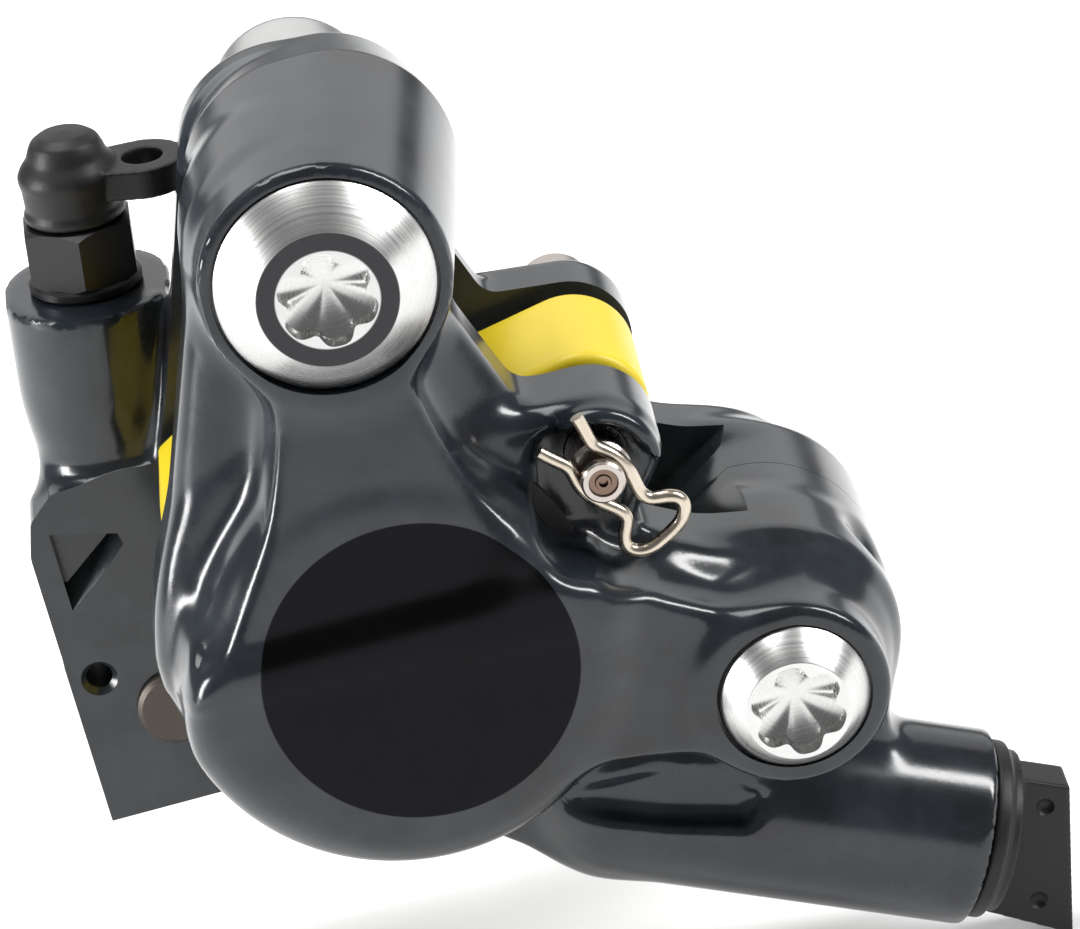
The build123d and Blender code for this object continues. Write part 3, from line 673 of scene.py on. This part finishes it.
# The neck's crest lines run from the upper boss to the printed field, and the arm's from the lower
# boss.
neck = ridge((0.5, 41.0), 4.0, (-0.65, 18.5), 13.0, 2.0,
             bolt_seat + 0.1, near_lobe + 0.3, crossing, 0.7, 4.5)
arm = ridge((21.0, 9.0), 4.9, (4.4, 16.1), 9.0, 1.8,
            bolt_seat + 0.3, near_lobe + 0.6, crossing, 0.9, 3.0)
pocket_level = near_face + 1.4
beside_tube = [(5.6, 3.8), (12.6, 0.8), (17.6, -0.8), (19.4, 0.6), (17.4, 3.0), (13.2, 4.6),
               (8.0, 4.9)]

# In order: the plate with its ribs, the raised neck, arm and housing, the bosses, the ear with its
# pocket, and the hose tube with the hollow beside it.
wheel_side = grown([
    link(rib_top, 5.7, piston_axis, 14.8, near_face, crossing, 2.4, 0),
    link(piston_axis, 13.4, pad_axle, 3.9, near_face, crossing, 1.2, 1.0),
    link(piston_axis, 8.8, lower_bolt, 6.4, near_face, crossing, 1.2, 1.0),
    link(piston_axis, 11.7, web_end, 6.0, near_face, crossing, 1.2, 1.0),
    link(web_end, 3.2, web_mouth, 3.2, near_face, crossing, 1.2, 1.0),
    link(web_mouth, 3.2, lower_bolt, 6.0, near_face, crossing, 1.2, 1.0),

    neck,
    arm,
    lobe,
    post(piston_axis, 12.3, near_lobe + 1.5, crossing, 2.5, 1.4),

    post(lower_bolt, 8.0, near_slot - 3.6, parting + 2, 1.4, 2.5),
    boss(upper_bolt, 7.9, 1.9, bolt_seat - seat_lip, parting, parting + 3, 0.5, 2.5),
    post(lower_bolt, 6.3, bolt_seat - seat_lip, crossing, 0.7, 2.0),

    post(pad_axle, 4.0, near_face - 1.4, crossing, 0.7, 1.0),
    link((12.8, 26.0), 2.6, (12.6, 23.4), 2.9, -far_away, pocket_level, 0.8, 0.9, hollow=True),
    link(pad_axle, 2.9, (15.7, 21.8), 3.45, -far_away, pocket_level, 0.8, 0.7, hollow=True),

    pipe(tube_start, hose_mouth, 6.5, 0.45, 1.4, round_start=True),
    slab(beside_tube, -far_away, near_face - 2.0, 1.2, 0.8, hollow=True),
    ball((31.2, disc_y - 5.0, 12.0), 2.0, 1.5, hollow=True),
], grain)


def bolt_drill(centre, seat, head_room, shank_room):
    return lathe([(0, -far_away), (head_room, -far_away), (head_room, seat), (shank_room, seat),
                  (shank_room, 0), (0, 0)], centre)


def drill(centre, radius, near, far):
    return lathe([(0, near), (radius, near), (radius, far), (0, far)], centre)


pad_side_low = 13.4
pad_side_high = -13.9
pad_way = 40


def slot_cutters():
    """The room for the disc, and the way that the pads go in by."""
    way = [beside(pad_side_low, 0), beside(pad_side_low, pad_way), beside(pad_side_high, pad_way),
           beside(pad_side_high, 0)]
    disc = [(0, near_slot), (disc_room, near_slot), (disc_room, far_slot), (0, far_slot)]
    return [lathe(disc, wheel_axle, steps=360), solid_of(slab(way, near_slot, far_slot, 0, 0))]


bore_room = 11.06
bore_depth = 9.6
upper_hole = 3.12
lower_hole = 2.62
axle_hole = 2.06
wheel_side = machined(wheel_side, [
    block((-far_away, parting - seam_gap, -far_away), (far_away, 0, far_away * 2)),
    *slot_cutters(),
    drill(piston_axis, bore_room, near_slot - bore_depth, near_slot + 1),
    bolt_drill(upper_bolt, bolt_seat, 7.12, upper_hole),
    bolt_drill(lower_bolt, bolt_seat, 5.05, lower_hole),
    drill(pad_axle, axle_hole, -far_away, near_slot + 1),
    laid_along(lathe([(0, 0), (3.6, 0), (3.6, 13), (4.0, 13.4), (4.0, 14), (0, 14)]),
               hose_mouth - 13.0 * hose_dir, hose_dir),
])

arm_end = (20.4, 9.3)
column_foot = bleed_top - 30.0 * bleed_dir
far_plate = far_slot - 1.5
foot_top = 12

# In order: the plate with its ribs, the foot with its round ends, the left part of the plate with
# the web to the bleed column, and the housing with the bosses and the column.
frame_side = grown([
    link(piston_axis, 13.4, pad_axle, 4.3, far_plate, far_face, 1.1, 0),
    link(rib_top, 5.7, piston_axis, 14.2, far_plate, nut_seat, 1.2, 1.0),
    link(piston_axis, 8.8, arm_end, 7.2, far_plate, far_face, 1.2, 1.0),

    slab([(-foot_half, -2), (foot_half, -2), (foot_half, foot_top), (-foot_half, foot_top)],
         far_slot, 0.2, 0.8, 1.0),
    slab([(-mount_half, -2), (mount_half, -2), (mount_half, foot_top), (-mount_half, foot_top)],
         far_slot, 6.3, 0.8, 1.0),
    pipe((-mount_half - 0.6, 0.2, -2), (-mount_half - 0.6, 0.2, foot_top), 6.1, 0.8, 0.8),
    pipe((mount_half + 0.6, 0.2, -2), (mount_half + 0.6, 0.2, foot_top), 6.1, 0.8, 0.8),
    slab([(-10.8, 6), (10.8, 6), (10.8, 20), (-10.8, 20)], 0.5, 12.0, 1.2, 1.2, hollow=True),

    slab([(-foot_half, -2), (0, -2), (0, 24.8), (-21.2, 24.6), (-23.1, 22.9), (-foot_half, 20.4)],
         far_plate, far_face, 0.8, 0.6),
    link((-17.0, 21.5), 4.0, piston_axis, 10.2, far_slot + 2.6, bleed_top[1], 1.0, 2.2),

    post(piston_axis, 14.6, far_plate, far_lobe, 3.8, 1.8),
    post(lower_bolt, 8.0, parting - 2, far_slot + 2.0, 1.6, 1.6),
    post(arm_end, 7.1, far_plate, far_slot + 6.2, 2.6, 1.8),
    boss(upper_bolt, 7.9, 1.9, parting - 3, parting - 3, nut_seat, 1.6, 2.0, taper=(1.7, parting)),
    pipe(column_foot, bleed_top, 5.5, 0.35, 1.8, deeper=0.8, waist=(4.3, 14.0, 24.0)),
], grain)


def plate_pocket():
    """Cutter for the plate's pocket: steep beside the rim, and a long slope up towards the foot."""
    mouth = ((-22.3, 13.0), (-16.4, 18.4), (-16.9, 21.0), (-22.3, 22.3))
    bottom = ((-22.1, 17.4), (-19.6, 19.4), (-18.2, 20.4), (-22.1, 21.5))
    bm = bmesh.new()
    for corners, y in ((mouth, far_slot - 3), (bottom, far_slot + 1.5)):
        for x, z in corners:
            bm.verts.new((x, y, z))
    wrapped(bm)
    return bm


thread_core = 2.1
thread_depth = 9.0
frame_side = machined(frame_side, [
    plate_pocket(),
    block((-far_away, -far_away, -far_away), (far_away, parting + seam_gap, far_away * 2)),
    block((-far_away, -far_away, -far_away), (far_away, far_away, 0)),
    *slot_cutters(),
    drill(piston_axis, bore_room, far_slot - 1, far_slot + bore_depth),
    lathe([(0, -far_away), (upper_hole, -far_away), (upper_hole, nut_seat), (5.5, nut_seat),
           (5.5, far_away), (0, far_away)], upper_bolt),
    drill(lower_bolt, lower_hole, parting - 1, disc_y + 11.0),
    lathe([(0, -far_away), (axle_hole, -far_away), (axle_hole, far_face), (2.65, far_face),
           (2.65, far_away), (0, far_away)], pad_axle),
    lathe([(0, far_slot - 5), (1.25, far_slot - 5), (1.25, far_slot + 0.1), (0.88, far_slot + 0.45),
           (0.88, far_away), (0, far_away)], (2.0 - foot_half, 10.6)),
    drill(across("passage_plug"), 2.62, far_slot - 5, far_slot + 3.0),
    laid_along(drill((0, 0), thread_core, -1, thread_depth), (-mount_half, 0, 0), (0, 0, 1)),
    laid_along(drill((0, 0), thread_core, -1, thread_depth), (mount_half, 0, 0), (0, 0, 1)),
    laid_along(drill((0, 0), 2.66, 0, 12.0), bleed_top - 11.0 * bleed_dir, bleed_dir),
])

print_centre = (0.2, 17.5)
print_radius = 10.1
print_fade = 0.04

enamel = Finish("cast_enamel", Specular_IOR_Level=0.42)
clouds = enamel.noise(5.0, detail=5.0, roughness=0.62)
broad = enamel.noise(16.0, detail=2.0)
grit = enamel.noise(0.35, detail=2.0)
on_front = 1 - enamel.axis("Y").between(near_lobe + 1.6, near_lobe + 1.9)
from_print = enamel.from_axis(print_centre)
off_print = from_print.between(print_radius - print_fade, print_radius + print_fade)
printed = (1 - off_print) * on_front
tint = enamel.blend(broad.between(0.35, 0.65), (0.0060, 0.0090, 0.0130), (0.0090, 0.0088, 0.0095))
paint = enamel.blend(clouds.between(0.35, 0.68), tint, (0.0170, 0.0215, 0.0265))
enamel.set(Base_Color=enamel.blend(printed, paint, (0.004, 0.004, 0.005)),
           Metallic=printed * 0.85,
           Roughness=0.13 + clouds * 0.12 + printed * 0.10)
enamel.bump(grit * 0.5 + clouds * 0.5, 0.016, 0.5)


def fitted(piece, finish, body, node):
    """Gives a piece its finish and puts it in the place of its node."""
    piece.data.materials.clear()
    piece.data.materials.append(finish.material)
    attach(piece, body)
    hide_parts(node)


fitted(finished_object("inboard_casting", wheel_side), enamel, "caliper", "inboard_body")
fitted(finished_object("outboard_casting", frame_side), enamel, "caliper", "outboard_body")


# The two body bolts and the nut. Plated steel, turned with wide conical heads. Each head has a flat
# ring and a six-lobed socket with a drilled point. The upper bolt ends in a crowned nut behind the
# frame side.
socket_dip = 0.22
socket_lobe_power = 2.2
socket_wall = 1.3
socket_point = 2.9


def star_cutter(centre, radius, head_y):
    """Six-lobed socket: upright walls, then a point that keeps the six lobes."""
    bm = lathe([(0, head_y - 1), (1, head_y - 1), (1, head_y + socket_wall),
                (0, head_y + socket_point)], steps=120)
    for vert in bm.verts:
        turn = atan2(vert.co.z, vert.co.x)
        out = radius * (1 - socket_dip * (0.5 + 0.5 * cos(6 * turn)) ** socket_lobe_power)
        vert.co.x *= out
        vert.co.z *= out
    bmesh.ops.translate(bm, verts=bm.verts, vec=(centre[0], 0, centre[1]))
    return bm


def body_bolt(node, centre, head, land, shank, socket_radius):
    top = reach(node, 0)[1]
    tail = reach(node, 1)[1]
    turned = as_mesh(lathe([
        (0, top), (land - 0.08, top), (land, top + 0.05), (head - 0.14, bolt_seat - 0.62),
        (head, bolt_seat - 0.45), (head, bolt_seat), (shank, bolt_seat), (shank, tail - 0.5),
        (shank - 0.5, tail), (0, tail)], centre, steps=120))
    socketed = machined(turned, [star_cutter(centre, socket_radius, top)])
    return finished_object(node.replace("body_bolt", "screw"), socketed)


upper_land = 4.45
plate = Finish("bright_plate", Metallic=1.0)
mottle = plate.noise(2.5, detail=4.0)
to_upper = plate.from_axis(upper_bolt)
to_lower = plate.from_axis(lower_bolt)
rings = plate.turning_marks(to_upper.least(to_lower), 0.16)
at_head = 1 - plate.axis("Y").between(bolt_seat, bolt_seat + 1.0)
past_socket = to_upper.between(3.2, 3.3)
past_land = to_upper.between(upper_land - 0.05, upper_land + 0.02)
# Painted reflection: the flat ring round the upper bolt's socket is coloured near black, standing in
# for the dark reflection of what is in front of it. It is also made rougher.
painted_dark_reflection_ring = past_socket * (1 - past_land) * at_head
bright = plate.blend(mottle, (0.46, 0.46, 0.455), (0.58, 0.58, 0.57))
plate.set(Base_Color=plate.blend(painted_dark_reflection_ring, bright, (0.045, 0.045, 0.048)),
          Roughness=0.2 + rings * 0.16 + painted_dark_reflection_ring * 0.2)
plate.bump(rings, 0.006, 0.6)

fitted(body_bolt("upper_body_bolt", upper_bolt, 6.95, upper_land, 3.0, 3.15), plate, "caliper",
       "upper_body_bolt")
fitted(body_bolt("lower_body_bolt", lower_bolt, 4.9, 3.45, 2.5, 3.1), plate, "caliper",
       "lower_body_bolt")

nut_radius = 5.4
nut_end = reach("upper_bolt_nut", 1)[1]
nut_crown = 2.4
crown_steps = 8
nut_bore_end = nut_seat + 5.4
crown = []
for step in range(crown_steps + 1):
    turn = pi / 2 * step / crown_steps
    crown.append((nut_radius - nut_crown * (1 - cos(turn)),
                  nut_end - nut_crown + nut_crown * sin(turn)))
nut = lathe([(0, nut_bore_end), (upper_hole, nut_bore_end), (upper_hole, nut_seat),
             (nut_radius, nut_seat), *crown, (0, nut_end)], upper_bolt, steps=96)
fitted(finished_object("crowned_nut", nut), plate, "caliper", "upper_bolt_nut")


# The pad axle. A stainless pin through both ears and the bleed block, turned with a head at its far
# end and a groove behind its near tip, where fine rings show on the end face.
tip_y = reach("pad_axle", 0)[1]
head_end = reach("pad_axle", 1)[1]
groove_y = tip_y + 0.75
shoulder_y = groove_y + 1.05
axle = lathe([
    (0, tip_y + 0.35), (0.22, tip_y + 0.35), (0.3, tip_y + 0.05), (0.48, tip_y + 0.05),
    (0.55, tip_y + 0.2), (0.88, tip_y + 0.2), (0.96, tip_y), (1.28, tip_y), (1.42, tip_y + 0.14),
    (1.42, groove_y), (0.9, groove_y), (0.9, shoulder_y), (1.75, shoulder_y),
    (2.0, shoulder_y + 0.25), (2.0, far_face), (2.55, far_face), (2.55, head_end - 0.35),
    (2.2, head_end), (1.3, head_end), (1.1, head_end - 0.9), (0, head_end - 0.9),
], pad_axle)
turned_steel = Finish("turned_steel", Metallic=1.0)
from_pin = turned_steel.from_axis(pad_axle)
marks = turned_steel.turning_marks(from_pin, 0.1)
# Painted shade: the steel is coloured darker and browner at small radii, in the hollows of both end
# faces and partly on the groove's floor.
painted_recess_shade = 1 - from_pin.between(0.86, 0.95)
turned_steel.set(Base_Color=turned_steel.blend(painted_recess_shade, (0.42, 0.38, 0.35), (0.16, 0.11, 0.085)),
                 Roughness=0.2 + marks * 0.15)
turned_steel.bump(marks, 0.004, 0.5)
fitted(finished_object("pad_pin", axle), turned_steel, "caliper", "pad_axle")


# The snap retainer. Spring wire, nickel plated, bent into open jaws that grip the axle's groove and
# a loop to pull it by. Its cut ends are rounded.
wire_radius = 0.45
wire_y = (groove_y + shoulder_y) / 2
wire_run = (0.5, -0.866)
wire_aside = (0.866, 0.5)
one_strand = [(-4.05, 1.66), (-3.0, 1.42), (-2.1, 0.98), (-1.3, 1.22), (-0.5, 1.52), (0.6, 1.54),
              (1.6, 1.25), (2.6, 0.82), (3.4, 0.9), (3.9, 1.7), (4.5, 2.35), (5.3, 2.3),
              (5.95, 1.5), (6.05, 0.5)]
bends = one_strand + [(u, -v) for u, v in reversed(one_strand)]
run = bpy.data.curves.new("retainer_run", "CURVE")
run.dimensions = "3D"
run.bevel_depth = wire_radius
run.bevel_resolution = 5
run.use_fill_caps = True
run.resolution_u = 10
spline = run.splines.new("NURBS")
spline.points.add(len(bends) - 1)
for point, (u, v) in zip(spline.points, bends):
    x = pad_axle[0] + wire_run[0] * u + wire_aside[0] * v
    z = pad_axle[1] + wire_run[1] * u + wire_aside[1] * v
    point.co = (x, wire_y, z, 1.0)
spline.order_u = 4
spline.use_endpoint_u = True
holder = bpy.data.objects.new("retainer_run", run)
wire = bpy.data.meshes.new_from_object(holder)
bpy.data.objects.remove(holder)
bm = bmesh.new()
bm.from_mesh(wire)
bmesh.ops.remove_doubles(bm, verts=bm.verts, dist=1e-5)
cut_ends = [edge for face in bm.faces if len(face.verts) > 6 for edge in face.edges]
bmesh.ops.bevel(bm, geom=cut_ends, offset=0.2, segments=4, profile=0.5, affect="EDGES", material=-1)
bmesh.ops.recalc_face_normals(bm, faces=bm.faces)
nickel = Finish("bright_nickel", Metallic=1.0)
haze = nickel.noise(0.8, detail=3.0)
nickel.set(Base_Color=nickel.blend(haze, (0.42, 0.36, 0.29), (0.56, 0.50, 0.42)),
           Roughness=0.2 + haze * 0.14)
nickel.bump(haze, 0.004, 0.4)
fitted(finished_object("snap_wire", bm, sharp=60.0), nickel, "axle_snap_retainer",
       "axle_snap_retainer")


# The bleed nipple. A black coated hexagon screw: a collar that seals on the column, a hexagon with
# its corners turned off, and a barbed nib under the cap.
hex_low = 0.9
hex_high = 4.9
hex_corner = 7.0 / 3 ** 0.5
nib_end = hex_high + 4.6
hexagon = bmesh.new()
upright = Matrix.Translation((0, (hex_low + hex_high) / 2, 0)) @ Matrix.Rotation(pi / 2, 4, "X")
bmesh.ops.create_cone(hexagon, cap_ends=True, segments=6, radius1=hex_corner, radius2=hex_corner,
                      depth=hex_high - hex_low, matrix=upright)
bmesh.ops.recalc_face_normals(hexagon, faces=hexagon.faces)
turned_corners = lathe([(0, hex_low), (3.7, hex_low), (4.06, hex_low + 0.3),
                        (4.06, hex_high - 0.35), (3.55, hex_high), (0, hex_high)], steps=96)
hexagon = machined(as_mesh(hexagon), [turned_corners], "INTERSECT")
stem = lathe([
    (0, -9.0), (2.1, -9.0), (2.6, -8.5), (2.6, 0.1), (3.6, 0.1), (3.78, 0.25), (3.78, 0.72),
    (3.6, 0.92), (1.6, 0.95), (1.6, nib_end - 2.3), (2.05, nib_end - 2.3), (1.6, nib_end),
    (0.7, nib_end), (0.7, 2.0), (0, 2.0),
])
screw = machined(hexagon, [stem], "UNION")
screw.transform(placing(bleed_top, bleed_dir))
black_coat = Finish("black_coat", Specular_IOR_Level=0.3)
dust = black_coat.noise(1.2, detail=5.0)
black_coat.set(Base_Color=black_coat.blend(dust, (0.004, 0.004, 0.005), (0.010, 0.010, 0.011)),
               Roughness=0.26 + dust * 0.2)
black_coat.bump(black_coat.noise(0.3), 0.012, 0.5)
fitted(finished_object("bleed_screw", screw), black_coat, "bleed_nipple", "bleed_nipple")


# The bleed cap. Moulded rubber with a beaded skirt, a domed crown and a strap with an eye to pull
# it by. It is pushed over the nipple's nib.
cap_low = 5.0


def softened(mesh, skin, rounds):
    """A moulded skin over joined solids: even little faces, then every edge eased."""
    mesh = with_modifier(mesh, "REMESH", mode="VOXEL", voxel_size=skin)
    return with_modifier(mesh, "SMOOTH", factor=0.5, iterations=rounds)


cap = as_mesh(lathe([
    (0, cap_low), (3.2, cap_low), (3.38, cap_low + 0.2), (3.38, cap_low + 0.6),
    (3.2, cap_low + 0.85), (3.3, cap_low + 2.4), (3.42, cap_low + 2.8), (3.42, cap_low + 3.2),
    (3.2, cap_low + 3.65), (2.7, cap_low + 4.3), (2.5, cap_low + 4.9), (2.25, cap_low + 5.4),
    (1.6, cap_low + 5.85), (0, cap_low + 6.02),
], steps=96))
eye = (4.9, 0)
eye_low = cap_low + 1.5
eye_high = cap_low + 3.5
cap = machined(cap, [solid_of(link((1.0, 0), 2.2, eye, 2.9, eye_low, eye_high, 0, 0))], "UNION")
cap = machined(cap, [drill(eye, 1.35, eye_low - 1, eye_high + 1)])
cap = softened(cap, 0.13, 7)
cap = machined(cap, [drill((0, 0), 2.17, cap_low - 1, cap_low + 4.65)])
cap.transform(placing(bleed_top, bleed_dir))
black_rubber = Finish("moulded_rubber", Specular_IOR_Level=0.26)
bloom = black_rubber.noise(2.0, detail=5.0)
black_rubber.set(Base_Color=black_rubber.blend(bloom, (0.004, 0.004, 0.004), (0.012, 0.012, 0.012)),
                 Roughness=0.36 + bloom * 0.2)
black_rubber.bump(black_rubber.noise(0.22), 0.02, 0.6)
fitted(finished_object("nipple_cap", cap), black_rubber, "bleed_cap", "bleed_cap")


# The bleed block. A moulded yellow block that holds the pistons back for delivery. It lies in the
# place of the pads, with an ear round the axle.
block_low = reach("pad_spacer", 0)[1]
block_high = reach("pad_spacer", 1)[1]
outline = [(-13.8, -6.5), (-10.8, -9.5), (10.8, -9.5), (13.8, -6.5), (13.8, 5.6), (10.8, 8.6),
           (-10.8, 8.6), (-13.8, 5.6)]
spacer = grown([
    slab([beside(side, out) for side, out in outline], block_low, block_high, 0.55, 0),
    link(piston_axis, 8.6, pad_axle, 4.2, block_low, block_high, 0.55, 0.3),
], 0.3)
spacer = machined(spacer, [drill(pad_axle, 2.15, near_slot, far_slot)])
yellow = Finish("yellow_moulding", Specular_IOR_Level=0.4)
flow = yellow.noise(6.0, detail=4.0)
yellow.set(Base_Color=yellow.blend(flow, (0.50, 0.375, 0.010), (0.57, 0.44, 0.018)),
           Roughness=0.34 + flow * 0.14)
yellow.bump(yellow.noise(0.25), 0.012, 0.5)
fitted(finished_object("bleed_block", spacer), yellow, "caliper", "pad_spacer")


# The hose port plug. Moulded rubber: a stem in the port, a stepped collar on the tube's mouth and a
# thick skewed tab with two small dents.
plug = as_mesh(lathe([(0, -10.0), (3.2, -10.0), (3.5, -9.6), (3.5, 0.05), (5.7, 0.05), (5.9, 0.25),
                      (5.9, 1.1), (5.4, 1.35), (5.4, 2.0), (0, 2.0)], steps=96))
tab_half = 1.6
tab = bmesh.new()
for across_tab, out in ((-4.6, 1.0), (-4.6, 5.3), (-1.5, 6.0), (6.05, 8.1), (5.2, 1.0)):
    tab.verts.new((across_tab, out, -tab_half))
    tab.verts.new((across_tab, out, tab_half))
wrapped(tab)
plug = softened(machined(plug, [tab], "UNION"), 0.14, 6)
dents = []
for across_tab, out in ((-2.9, 4.0), (3.9, 5.2)):
    dent = bmesh.new()
    bmesh.ops.create_icosphere(
        dent, subdivisions=3, radius=0.75, matrix=Matrix.Translation((across_tab, out, 2.0)))
    dents.append(dent)
plug = machined(plug, dents)
plug.transform(placing(hose_mouth, hose_dir))
fitted(finished_object("port_plug", plug), black_rubber, "hose_port_plug", "hose_port_plug")


# The pieces that keep the frame's own shapes: the hidden pistons of ground resin, the hidden sealing
# rings, and the pressed plug in the plate, with its brown coating.
ground_resin = Finish("ground_resin", Specular_IOR_Level=0.4)
speckle = ground_resin.noise(0.5, detail=5.0)
ground_marks = ground_resin.turning_marks(ground_resin.from_axis(piston_axis), 0.3)
ground_resin.set(Base_Color=ground_resin.blend(speckle, (0.62, 0.58, 0.50), (0.74, 0.71, 0.64)),
                 Roughness=0.38 + ground_marks * 0.15)
ground_resin.bump(ground_marks, 0.01, 0.5)

sealing = Finish("sealing_rubber", Specular_IOR_Level=0.4)
sheen = sealing.noise(1.0, detail=3.0)
sealing.set(Base_Color=sealing.blend(sheen, (0.012, 0.012, 0.013), (0.024, 0.024, 0.024)),
            Roughness=0.4 + sheen * 0.15)

brown_coat = Finish("brown_coat", Metallic=0.6)
stain = brown_coat.noise(1.5, detail=4.0)
brown_coat.set(Base_Color=brown_coat.blend(stain, (0.035, 0.028, 0.024), (0.070, 0.058, 0.050)),
               Roughness=0.35 + stain * 0.2)
press_marks = brown_coat.turning_marks(brown_coat.from_axis(across("passage_plug")), 0.25)
brown_coat.bump(press_marks, 0.01, 0.5)

kept_nodes = {
    "inboard_piston": ground_resin,
    "outboard_piston": ground_resin,
    "inboard_piston_seal": sealing,
    "outboard_piston_seal": sealing,
    "crossover_o_ring": sealing,
    "passage_plug": brown_coat,
}
for node, finish in kept_nodes.items():
    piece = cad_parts[node]
    piece.data.materials.clear()
    piece.data.materials.append(finish.material)
